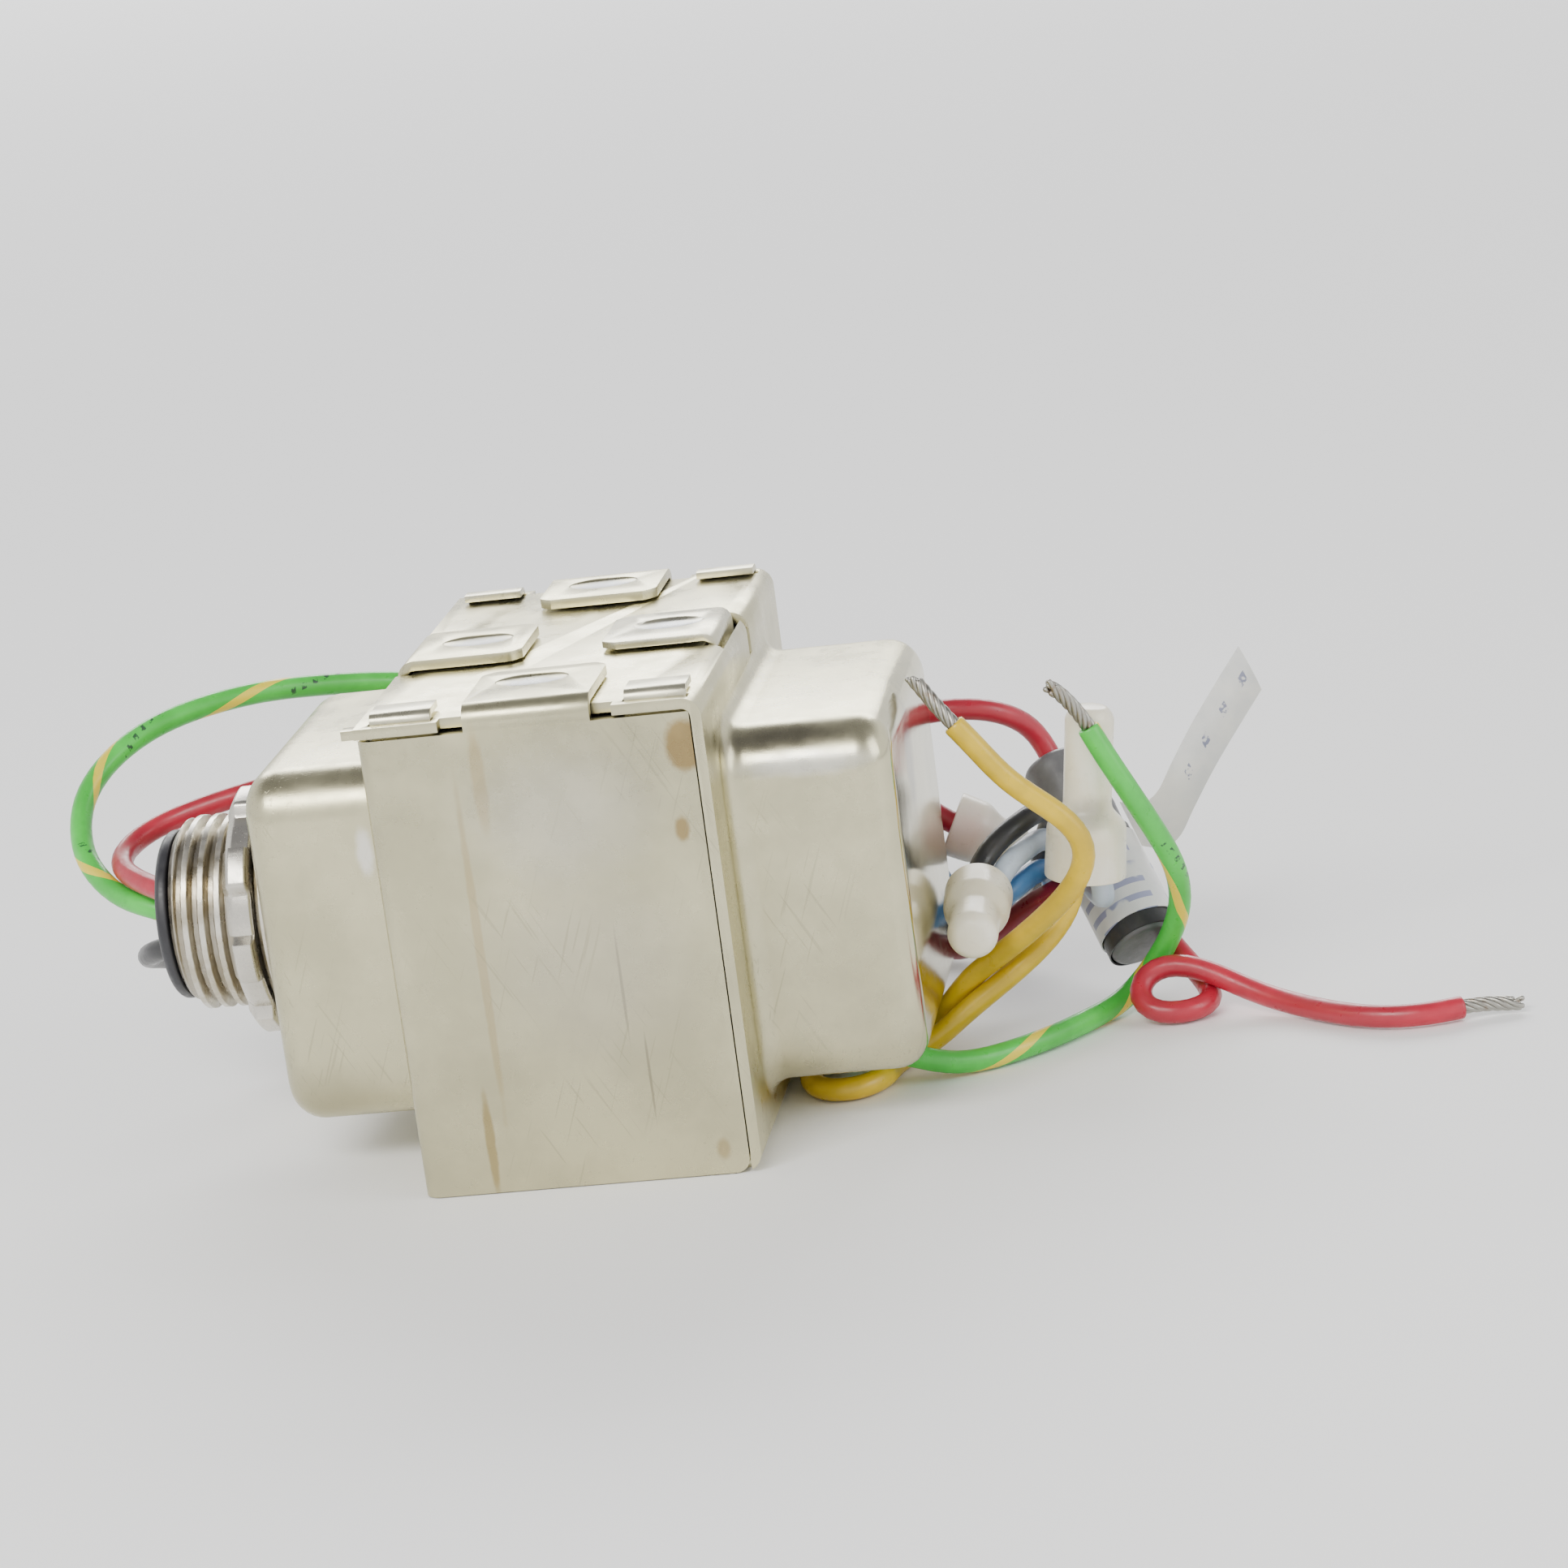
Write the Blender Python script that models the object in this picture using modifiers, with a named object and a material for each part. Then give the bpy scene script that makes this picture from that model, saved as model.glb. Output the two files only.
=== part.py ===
"""Steel-cased, hub-mounted line unit: folded case with drawn bells, coil and core, threaded hub, leads.

Sizes are millimetres and are turned to metres by MM as the geometry is made. X runs from the hub (-X)
to the far bell (+X), Y from front to back, Z up. Everything is placed from the case's own centre,
which stands CASE_X ahead of the origin, so that the origin is under the middle of the whole unit.
"""
import math

import bmesh
import bpy
from mathutils import Vector

MM = 0.001
CASE_X = 6.45

# Case
SHEET = 1.1
HALF_X, HALF_Y, TOP = 18.0, 30.2, 50.8
WALL_END, WALL_TOP, WALL_CORNER = 16.4, 49.4, 1.5
LEFT_BEND, RIGHT_BEND = 1.8, 2.0

# Bells
BELL_HALF_Y, BELL_LOW, BELL_HIGH = 21.0, 5.5, 44.2
BELL_Z = (BELL_LOW + BELL_HIGH) / 2
BELL_HALF_Z = (BELL_HIGH - BELL_LOW) / 2
BELL_LEFT, BELL_RIGHT = -33.8, 35.2
BELL_WALL, BELL_CORNER, BELL_EDGE, BELL_ROOT = 1.0, 5.0, 3.6, 2.2

# Folded tabs
TAB_HALF, TAB_TIP_HALF, TAB_TIP_LONG = 6.6, 5.2, 1.6
TAB_TOP, TAB_SHEET, TAB_BEND = 52.14, 1.04, 1.9
FRONT_TAB_END, BACK_TAB_END, LEFT_TAB_END, CLIP_END = -15.6, 17.7, -4.4, 4.2
DIMPLE = (3.9, 2.6, 0.5)

# Inner strap and its four narrow tabs
STRAP, STRAP_X, STRAP_Y, STRAP_LOW, STRAP_TOP = 0.8, 16.0, 28.8, 1.4, 49.3
STUB_LOW, STUB_HIGH, STUB_TOP = 10.1, 16.5, 51.85
STUB_FRONT_END, STUB_BACK_END = -24.4, 25.8

# Clip over the top
CLIP_X, CLIP_SHEET, CLIP_HALF, CLIP_FOOT, CLIP_TOP = 16.65, 0.8, 6.4, 40.0, 51.95

# Core and coil
CORE_X, CORE_Y, CORE_LOW, YOKE_TOP, LEG_TOP, CORE_TOP = 15.6, 27.8, 2.4, 11.7, 39.6, 49.1
LEG_HALF, WINDOW_OUT = 9.3, 18.5
TUBE_IN_Y, TUBE_IN_X, TUBE_WALL = 9.55, 15.85, 0.9
FLANGE_Y, FLANGE_X, FLANGE = 18.2, 24.6, 1.0
FLANGE_Z = (12.0, 25.2, 38.3)
COIL_Y, COIL_X, COIL_GAP = 17.6, 24.0, 0.2
TAPE_GAP, TAPE = 0.15, 0.35

# Hub
HUB_Z = 25.0
HUB_BORE, THREAD_TOP, THREAD_ROOT, THREAD_PITCH = 8.0, 10.65, 9.55, 1.814
HUB_END, THREAD_FOOT, COLLAR_FOOT = 46.4, 36.1, 34.1
COLLAR_R, NECK_R, FLARE_R = 12.4, 9.7, 11.6
NECK_END, FLARE_END = 32.5, 31.3
HUB_HOLE = 10.0
NUT_LOW, NUT_HIGH, NUT_BORE, NUT_ROOT, NUT_LUG = 36.4, 39.4, 10.85, 12.6, 13.9
NUT_LUGS, NUT_PHASE, LUG_SHARE = 8, 34.0, 0.42
BUSH_RIM, BUSH_RIM_LOW, BUSH_RIM_HIGH, BUSH_R, BUSH_FOOT, BUSH_BORE = 9.3, 46.7, 48.1, 7.8, 39.8, 6.2

# Grommet in the far bell's back wall
GROMMET_X, GROMMET_Z = 27.2, 22.0
GROMMET_HOLE, GROMMET_R, GROMMET_BARREL, GROMMET_BORE = 5.6, 6.6, 5.3, 4.4
GROMMET_INNER, GROMMET_FACE, GROMMET_OUTER = 18.9, 21.3, 22.7

# Leads
LEAD_R, TIP_R = 1.25, 0.85
LEAD_STEP, TIGHT_STEP = 6.0, 3.2

# Capsule
CAPSULE_A = Vector((46.8, 33.5, 23.9))
CAPSULE_B = Vector((56.1, 18.0, 6.2))
CAPSULE_R, SLEEVE_R, WRAP_R = 4.1, 4.35, 4.6
SLEEVE_SPAN, WRAP_SPAN = (11.0, 25.0), (12.2, 23.2)
FLAG_WIDE, FLAG_THICK = 6.2, 0.35

GREEN_ROUTE = (
    (-38, 2.5, 23.5), (-46, 2.5, 23.5), (-51, 3, 25), (-56, 6, 26), (-59.5, 9, 28.5), (-61.5, 13, 31),
    (-61.5, 17, 35), (-58.5, 22, 38.5), (-53, 26, 41), (-45.5, 30, 42), (-38.5, 32, 42), (-28, 34.2, 41),
    (-18, 35, 39), (-9, 36.5, 35), (-1, 37.3, 28.5), (6, 37, 20.5), (12, 36.2, 12), (17, 34.5, 5),
    (20.6, 31.5, 2), (22.6, 27.5, 1.27), (22.9, 20, 1.27), (22.9, 11, 1.27), (22.9, 3, 1.27),
    (23.8, -1.5, 1.8), (26, -4.2, 3.3), (28.9, -5.2, 4.05), (31.6, -5.5, 3.2), (36, -4.5, 1.5),
    (40.5, -2, 1.27), (46, 3, 1.27), (50.2, 8.8, 1.27), (53.4, 14, 1.4), (56.8, 16, 4.4), (59.5, 14.6, 8.6),
    (61, 12.6, 13), (60.7, 10.4, 17.8), (58.8, 8.6, 22.8), (56.6, 7.7, 27.6), (54.9, 7.5, 31),
    (53.4, 7.4, 34.4),
)
GREEN_TIP_ROUTE = ((53.3, 7.3, 34.8), (52.3, 6.6, 36.8), (51.0, 5.6, 38.8), (49.6, 4.6, 40.4))
RED_A_ROUTE = (
    (-38, -2, 27.5), (-46, -2, 27.5), (-50.2, 1, 27.9), (-53.1, 4.2, 28.2), (-55.6, 7.4, 28.6),
    (-56.6, 11, 29.2), (-55.9, 14.4, 30), (-53.4, 16.9, 31), (-49.5, 18, 32), (-44.5, 19, 33),
    (-39, 21, 33.6), (-33, 25, 33.6), (-26, 29.3, 32.6), (-18, 32.4, 29), (-9, 33.3, 23),
    (0, 33.6, 19.5), (9, 33.4, 21), (17, 32.2, 25.5), (25, 30.5, 30), (32, 29.5, 32.2),
    (37, 29.6, 32.5), (41.4, 31, 31.4), (44.3, 33.4, 29), (45.6, 35, 26.6), (46.45, 34.05, 24.6),
)
RED_B_ROUTE = (
    (58.6, 18.4, 6.6), (60.2, 17, 4.6), (62.4, 14.8, 2.6), (63.5, 11.8, 1.4), (62.3, 8.8, 1.27),
    (59.4, 7.4, 1.27), (56.3, 8, 1.5), (54.9, 10.2, 3), (56.1, 12.2, 4.9), (58.6, 12.6, 5.6),
    (61.4, 12.3, 5.1), (64.3, 11.7, 3.8), (68, 10, 2.2), (72, 7.2, 1.4), (76, 3.6, 1.27),
    (80.5, 0.3, 1.27), (85.5, -0.8, 1.27), (90.5, 0.8, 1.27),
)
RED_TIP_ROUTE = ((91.0, 1.0, 1.3), (93.2, 1.5, 1.2), (95.2, 1.7, 1.0), (97.0, 1.6, 1.0))
BLACK_ROUTE = (
    (-38, 1, 21), (-47, 1, 21), (-50.6, 2, 20.8), (-53, 4.5, 19.6), (-54.6, 8, 18.2),
    (-54.9, 12, 17), (-53.6, 16, 15.6), (-50.5, 20, 13.5), (-45, 24.5, 10.5), (-38, 28.5, 7),
    (-29, 31.8, 3.6), (-18, 34, 1.8), (-8, 35.2, 1.27), (3, 36.6, 1.27), (13, 38.8, 1.27),
    (22, 41, 1.27), (31, 41.4, 2), (38, 38.8, 4.3), (42, 35.5, 7.4), (44, 31.5, 10.2),
    (44.5, 28, 13.2), (45, 24.9, 16.6), (46.1, 23.4, 18.9), (47.2, 21.2, 21.3), (46.9, 18.7, 23.1),
    (45.5, 15.6, 23.2), (43.4, 13.2, 22.4), (41, 11.9, 21.1), (39.5, 10.8, 19.3), (39, 9, 18),
    (39, 6.6, 17.8),
)
YELLOW_A_ROUTE = (
    (25.5, 19.3, 19.7), (25.5, 22.9, 19.7), (25.5, 24.9, 18.4), (25.7, 26, 14.8), (26.1, 26.1, 10),
    (26.3, 25, 5.4), (26.3, 22, 2.3), (26.4, 17.5, 1.27), (26.6, 12.6, 1.27), (28.2, 9.2, 1.4),
    (31.2, 7.4, 2), (34.3, 6.4, 4), (36.6, 6, 7.1), (39, 5.3, 9.1), (41.9, 4.2, 11.1),
    (46.4, 2.2, 14.7), (50, 0.5, 18.1), (52.1, -0.9, 21.3), (52.6, -2, 24.3), (50.7, -2, 27.1),
    (47.5, -2, 29.6), (44.6, -2, 32.2), (42.4, -2, 35.4), (40, -2, 38.5),
)
YELLOW_TIP_ROUTE = ((39.7, -1.9, 38.9), (38.4, -1.4, 40.5), (37.1, -0.8, 42.2), (35.9, -0.2, 43.9))
YELLOW_B_ROUTE = (
    (24.5, 19.3, 22.9), (24.5, 23, 22.9), (24.1, 25.6, 21.8), (23, 27.4, 18.5), (21.5, 27.9, 13.5),
    (20.4, 27.3, 8), (20.1, 25, 3.6), (20.1, 20.5, 1.4), (20.1, 12, 1.27), (20.1, 3, 1.27),
    (20.1, -4.5, 1.27), (21.3, -8.3, 1.27), (24.4, -9.9, 1.27), (27.5, -8.3, 1.27), (28.8, -4.6, 1.27),
    (29.2, -0.8, 1.27), (30.8, 1.6, 1.27), (33.3, 2.5, 2.1), (35.8, 3.3, 4.1), (38.5, 4.2, 5.8),
    (42, 5.6, 7.9), (45.7, 6.8, 10.5), (48.2, 8.2, 12.8), (49.5, 9.9, 15.1), (50, 10.5, 17),
    (50, 10.7, 19.2),
)
MAROON_ROUTE = (
    (50, 13.4, 19.2), (50, 13.6, 16.4), (49.2, 14.4, 14.9), (47.4, 15.3, 14.3), (45.4, 16, 13.5),
    (43.2, 16.7, 12.1), (40.6, 17.6, 9.9), (37.4, 19, 7.9), (34.5, 20.8, 6.6), (31.9, 22.9, 7),
    (30.2, 24.5, 9.8), (29.3, 25.3, 14), (29, 24.8, 17.8), (28.9, 22.9, 19.7), (28.9, 19.3, 19.7),
)
BLUE_ROUTE = (
    (38.1, 6.6, 15.7), (38.8, 9.8, 14.9), (41, 10.9, 14.5), (43.3, 12.3, 16.1), (45.3, 15, 17),
    (46.4, 18.8, 15.6), (46.2, 22.2, 12.6), (44.8, 25, 10.2), (41.5, 26.2, 9), (38, 25.7, 9),
    (35.2, 25.1, 10.8), (33.2, 25, 14), (32, 24.8, 17.4), (31.4, 24.9, 20), (30.4, 24.4, 22.2),
    (29.9, 22.9, 22.9), (29.9, 19.3, 22.9),
)
PALE_BLUE_ROUTE = (
    (40.8, 6.6, 16.15), (40.9, 8.8, 16.5), (41.6, 10.3, 17.7), (42.8, 11.6, 19), (44.2, 13.8, 19.5),
    (45.8, 17.3, 19.7), (47.6, 19.3, 18.6), (49.5, 18.8, 15.9), (51.2, 16.7, 13.6), (52.4, 14, 13.2), (52.4, 12.3, 15.6),
    (52.4, 12, 20.2),
)
RED_STUB_ROUTE = (
    (27.2, 3.6, 24.85), (27.2, 9, 24.85), (27.2, 14.4, 24.85), (27.2, 19.3, 24.85), (27.2, 23, 24.85), (28.3, 26, 24.6), (30.6, 27.6, 23.4), (33.2, 27.3, 21.2),
    (36, 27, 19.4),
)
FLAG_LINE = (
    (55.2, 26.6, 18.0), (57.6, 26.2, 17.6), (59.6, 26.0, 18.8), (61.3, 26.3, 21.6), (64.2, 27.6, 26.0),
    (67.3, 28.9, 30.1), (70.2, 30.0, 33.8),
)
CONNECTORS = {  # rim centre, closed end, skirt radius, skirt length, barrel radius
    "front": ((39.35, 8.0, 16.7), (39.45, -4.5, 15.2), 3.75, 4.6, 2.75),
    "upright": ((50.8, 12.0, 16.6), (53.5, 12.0, 35.7), 4.5, 6.0, 2.7),
    "rear": ((35.1, 27.0, 19.9), (43.0, 27.0, 16.0), 3.7, 3.4, 2.6),
}


def reset():
    for obj in list(bpy.data.objects):
        bpy.data.objects.remove(obj)


def collection(name):
    group = bpy.data.collections.new(name)
    bpy.context.scene.collection.children.link(group)
    return group


reset()
PARTS = collection("surge_protector")
TOOLS = collection("surge_protector_tools")
CENTRE = bpy.data.objects.new("case_centre", None)
CENTRE.location = (CASE_X * MM, 0, 0)
PARTS.objects.link(CENTRE)


# ---------------------------------------------------------------- helpers

def material(name, colour, roughness, metallic=0.0):
    mat = bpy.data.materials.new(name)
    mat.use_nodes = True
    shader = mat.node_tree.nodes["Principled BSDF"]
    shader.inputs["Base Color"].default_value = (*colour, 1)
    shader.inputs["Roughness"].default_value = roughness
    shader.inputs["Metallic"].default_value = metallic
    return mat


def place(name, data, mat=None, centre=(0, 0, 0)):
    """An object at a place given from the case's centre; without a material it is a tool."""
    obj = bpy.data.objects.new(name, data)
    obj.location = Vector(centre) * MM
    obj.parent = CENTRE
    if mat:
        PARTS.objects.link(obj)
        data.materials.append(mat)
    else:
        TOOLS.objects.link(obj)
        obj.hide_render = True
        obj.display_type = "WIRE"
    return obj


def mesh_of(name, points, faces, edges=()):
    mesh = bpy.data.meshes.new(name)
    mesh.from_pydata([Vector(p) * MM for p in points], edges, faces)
    return mesh


def box(name, low, high, mat=None):
    bm = bmesh.new()
    bmesh.ops.create_cube(bm, size=1)
    for vert in bm.verts:
        for i in range(3):
            vert.co[i] = (low[i] if vert.co[i] < 0 else high[i]) * MM
    mesh = bpy.data.meshes.new(name)
    bm.to_mesh(mesh)
    bm.free()
    return place(name, mesh, mat)


def combine(obj, other, how):
    mod = obj.modifiers.new(how.lower(), "BOOLEAN")
    mod.operation = how
    mod.object = other


def solidify(obj, thickness):
    """Thickens an open surface behind its outer face."""
    mod = obj.modifiers.new("sheet", "SOLIDIFY")
    mod.thickness = thickness * MM
    mod.offset = -1
    mod.use_even_offset = True


def filleted(corners, radius, steps=4):
    """A path in a plane with an arc of this radius at each inner corner."""
    path = [Vector(corners[0])]
    for before, corner, after in zip(corners, corners[1:], corners[2:]):
        corner = Vector(corner)
        into = (Vector(before) - corner).normalized()
        out = (Vector(after) - corner).normalized()
        half = into.angle(out) / 2
        centre = corner + (into + out).normalized() * radius / math.sin(half)
        start = corner + into * radius / math.tan(half) - centre
        end = corner + out * radius / math.tan(half) - centre
        for i in range(steps + 1):
            share = i / steps
            turn = math.pi - 2 * half
            weight = math.sin(turn * (1 - share)), math.sin(turn * share)
            path.append(centre + (start * weight[0] + end * weight[1]) / math.sin(turn))
    return path + [Vector(corners[-1])]


PLANES = {"xy": lambda a, b, w: (a, b, w), "yz": lambda a, b, w: (w, a, b), "xz": lambda a, b, w: (a, w, b)}


def folded_sheet(name, path, plane, span, thickness, mat=None):
    """A bent sheet: path is its outer face, material lies to the left of travel, span(point) is its width."""
    spot = PLANES[plane]
    points = []
    for p in path:
        low, high = span(p)
        points += [spot(p[0], p[1], low), spot(p[0], p[1], high)]
    faces = [(2 * i, 2 * i + 2, 2 * i + 3, 2 * i + 1) for i in range(len(path) - 1)]
    obj = place(name, mesh_of(name, points, faces), mat)
    solidify(obj, thickness)
    return obj


def rounded_rectangle(half_a, half_b, radius, steps=4):
    outline = []
    for corner in range(4):
        sign_a = 1 if corner in (0, 3) else -1
        sign_b = 1 if corner in (0, 1) else -1
        for i in range(steps + 1):
            angle = (corner + i / steps) * math.pi / 2
            a = sign_a * (half_a - radius) + radius * math.cos(angle)
            b = sign_b * (half_b - radius) + radius * math.sin(angle)
            outline.append((a, b))
    return outline


def loft_along_x(name, rings, cap_start, mat=None):
    """A surface through rings of equal count, each (x, outline in Y and Z), capped at its last ring."""
    points = [(x, y, z) for x, outline in rings for y, z in outline]
    count = len(rings[0][1])
    forward = rings[-1][0] > rings[0][0]
    faces = []
    for ring in range(len(rings) - 1):
        for i in range(count):
            j = (i + 1) % count
            base = ring * count
            quad = (base + i, base + j, base + count + j, base + count + i)
            faces.append(quad if forward else quad[::-1])
    last = list(range((len(rings) - 1) * count, len(rings) * count))
    faces.append(last if forward else last[::-1])
    if cap_start:
        first = list(range(count))
        faces.append(first[::-1] if forward else first)
    return place(name, mesh_of(name, points, faces), mat)


def turned(name, profile, steps=16, mat=None, centre=(0, 0, 0), along=(0, 0, 1)):
    """A turned piece: profile is (radius, height), down the outer side, and up the bore if it has one."""
    closed = profile[0][0] > 0
    points = [(r, 0, h) for r, h in profile]
    edges = [(i, i + 1) for i in range(len(points) - 1)]
    if closed:
        edges.append((len(points) - 1, 0))
    obj = place(name, mesh_of(name, points, (), edges), mat, centre)
    obj.rotation_euler = Vector(along).to_track_quat("Z", "Y").to_euler()
    mod = obj.modifiers.new("turn", "SCREW")
    mod.steps = steps
    mod.render_steps = steps
    mod.use_merge_vertices = True
    mod.merge_threshold = 0.000001
    mod.use_smooth_shade = True
    return obj


def flat_outline(name, splines, thickness, mat=None, centre=(0, 0, 0), along=(0, 0, 1)):
    """A plate of closed outlines; an outline inside another is a hole."""
    curve = bpy.data.curves.new(name, "CURVE")
    curve.dimensions = "2D"
    curve.fill_mode = "BOTH"
    curve.extrude = thickness / 2 * MM
    for outline in splines:
        spline = curve.splines.new("POLY")
        spline.points.add(len(outline) - 1)
        spline.use_cyclic_u = True
        for point, (a, b) in zip(spline.points, outline):
            point.co = (a * MM, b * MM, 0, 1)
    obj = place(name, curve, mat, centre)
    obj.rotation_euler = Vector(along).to_track_quat("Z", "Y").to_euler()
    return obj


def smooth_route(points, step):
    """Evenly spaced points on the smooth curve through a route's own points."""
    knots = [Vector(p) for p in points]
    ends = [2 * knots[0] - knots[1]] + knots + [2 * knots[-1] - knots[-2]]
    fine = []
    for a, b, c, d in zip(ends, ends[1:], ends[2:], ends[3:]):
        for i in range(16):
            t = i / 16
            fine.append(0.5 * (2 * b + (c - a) * t + (2 * a - 5 * b + 4 * c - d) * t ** 2
                               + (3 * b - a - 3 * c + d) * t ** 3))
    fine.append(knots[-1])
    run = [0.0]
    for p, q in zip(fine, fine[1:]):
        run.append(run[-1] + (q - p).length)
    count = max(2, round(run[-1] / step))
    route, at = [], 0
    for i in range(count + 1):
        goal = run[-1] * i / count
        while at < len(run) - 2 and run[at + 1] < goal:
            at += 1
        share = (goal - run[at]) / (run[at + 1] - run[at])
        route.append(fine[at].lerp(fine[at + 1], min(1.0, share)))
    return route


def tube(name, route, radius, step, mat):
    curve = bpy.data.curves.new(name, "CURVE")
    curve.dimensions = "3D"
    curve.bevel_depth = radius * MM
    curve.bevel_resolution = 2
    curve.use_fill_caps = True
    points = smooth_route(route, step)
    spline = curve.splines.new("POLY")
    spline.points.add(len(points) - 1)
    for point, p in zip(spline.points, points):
        point.co = (*(p * MM), 1)
    return place(name, curve, mat)


# ---------------------------------------------------------------- case

def bell(name, web_x, tip_x):
    """A drawn bell: root fillet on the web, straight wall, rounded end."""
    side = math.copysign(1, tip_x)
    foot = abs(web_x) - 0.05
    end = abs(tip_x)
    stations = []
    for i in range(4):
        angle = i / 3 * math.pi / 2
        stations.append((foot + BELL_ROOT * (1 - math.cos(angle)), BELL_ROOT * (1 - math.sin(angle))))
    for i in range(5):
        angle = i / 4 * math.pi / 2
        stations.append((end - BELL_EDGE * (1 - math.sin(angle)), -BELL_EDGE * (1 - math.cos(angle))))
    rings = []
    for x, grow in stations:
        outline = rounded_rectangle(BELL_HALF_Y + grow, BELL_HALF_Z + grow, BELL_CORNER + grow)
        rings.append((side * x, [(y, z + BELL_Z) for y, z in outline]))
    shell = loft_along_x(name, rings, cap_start=False)
    solidify(shell, BELL_WALL)
    return shell


def bell_mouth(name, web_x):
    """The opening in a web behind its bell."""
    inset = 0.15
    outline = rounded_rectangle(BELL_HALF_Y - inset, BELL_HALF_Z - inset, BELL_CORNER)
    ring = [(y, z + BELL_Z) for y, z in outline]
    near, far = web_x - 3, web_x + 3
    return loft_along_x(name, [(near, ring), (far, ring)], cap_start=True)


def tab_span(end, axis, direction, centre=0.0):
    """The width of a tab that narrows at its free end."""
    def span(p):
        from_end = (end - p[axis]) * direction
        share = min(1.0, max(0.0, from_end / TAB_TIP_LONG))
        half = TAB_TIP_HALF + (TAB_HALF - TAB_TIP_HALF) * share
        return centre - half, centre + half
    return span


def dimple(name, x, y, top):
    bm = bmesh.new()
    bmesh.ops.create_uvsphere(bm, u_segments=16, v_segments=8, radius=1)
    for vert in bm.verts:
        for i in range(3):
            vert.co[i] *= DIMPLE[i] * MM
    mesh = bpy.data.meshes.new(name)
    bm.to_mesh(mesh)
    bm.free()
    return place(name, mesh, None, (x, y, top))


def left_shell():
    steel = material("left_steel", (0.62, 0.58, 0.50), 0.3, 1.0)
    corner = WALL_END - WALL_CORNER
    ends = [(WALL_END - WALL_CORNER * (1 - math.sin(math.radians(a)))) for a in (0, 25, 50, 70)]
    back = [(x, HALF_Y) for x in (WALL_END, *reversed(ends))]
    front = [(x, -HALF_Y) for x in (*ends, WALL_END)]
    turns = filleted((back[-1], (-HALF_X, HALF_Y), (-HALF_X, -HALF_Y), front[0]), LEFT_BEND)
    path = [Vector(p) for p in back[:-1]] + turns + [Vector(p) for p in front[1:]]

    def wall_span(p):
        past = max(0.0, min(WALL_CORNER, p[0] - corner))
        return WALL_CORNER - math.sqrt(WALL_CORNER ** 2 - past ** 2), WALL_TOP

    shell = folded_sheet("left_shell", path, "xy", wall_span, SHEET, steel)
    combine(shell, bell_mouth("left_mouth", -HALF_X), "DIFFERENCE")
    combine(shell, bell("left_bell", -HALF_X, BELL_LEFT), "UNION")
    inset = 0.03
    foot = 44.0
    face_y, face_x = HALF_Y - inset, HALF_X - inset
    front_path = filleted(((FRONT_TAB_END, TAB_TOP), (-face_y, TAB_TOP), (-face_y, foot)), TAB_BEND)
    front_path.insert(1, Vector((FRONT_TAB_END - TAB_TIP_LONG, TAB_TOP)))
    back_path = filleted(((face_y, foot), (face_y, TAB_TOP), (BACK_TAB_END, TAB_TOP)), TAB_BEND)
    back_path.insert(-1, Vector((BACK_TAB_END + TAB_TIP_LONG, TAB_TOP)))
    left_path = filleted(((-face_x, foot + 2), (-face_x, TAB_TOP), (LEFT_TAB_END, TAB_TOP)), TAB_BEND)
    left_path.insert(-1, Vector((LEFT_TAB_END - TAB_TIP_LONG, TAB_TOP)))
    tabs = (
        folded_sheet("front_tab", front_path, "yz", tab_span(FRONT_TAB_END, 0, 1), TAB_SHEET),
        folded_sheet("back_tab", back_path, "yz", tab_span(BACK_TAB_END, 0, -1), TAB_SHEET),
        folded_sheet("left_tab", left_path, "xz", tab_span(LEFT_TAB_END, 0, 1), TAB_SHEET),
    )
    for tab in tabs:
        combine(shell, tab, "UNION")
    hole = turned("hub_hole", ((0, 40), (HUB_HOLE, 40), (HUB_HOLE, 30), (0, 30)), 24,
                  None, (0, 0, HUB_Z), (-1, 0, 0))
    combine(shell, hole, "DIFFERENCE")
    for i, (x, y) in enumerate(((-0.7, -20.5), (-10.3, 0.9), (-0.2, 24.3))):
        combine(shell, dimple(f"left_dimple_{i}", x, y, TAB_TOP), "DIFFERENCE")


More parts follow.
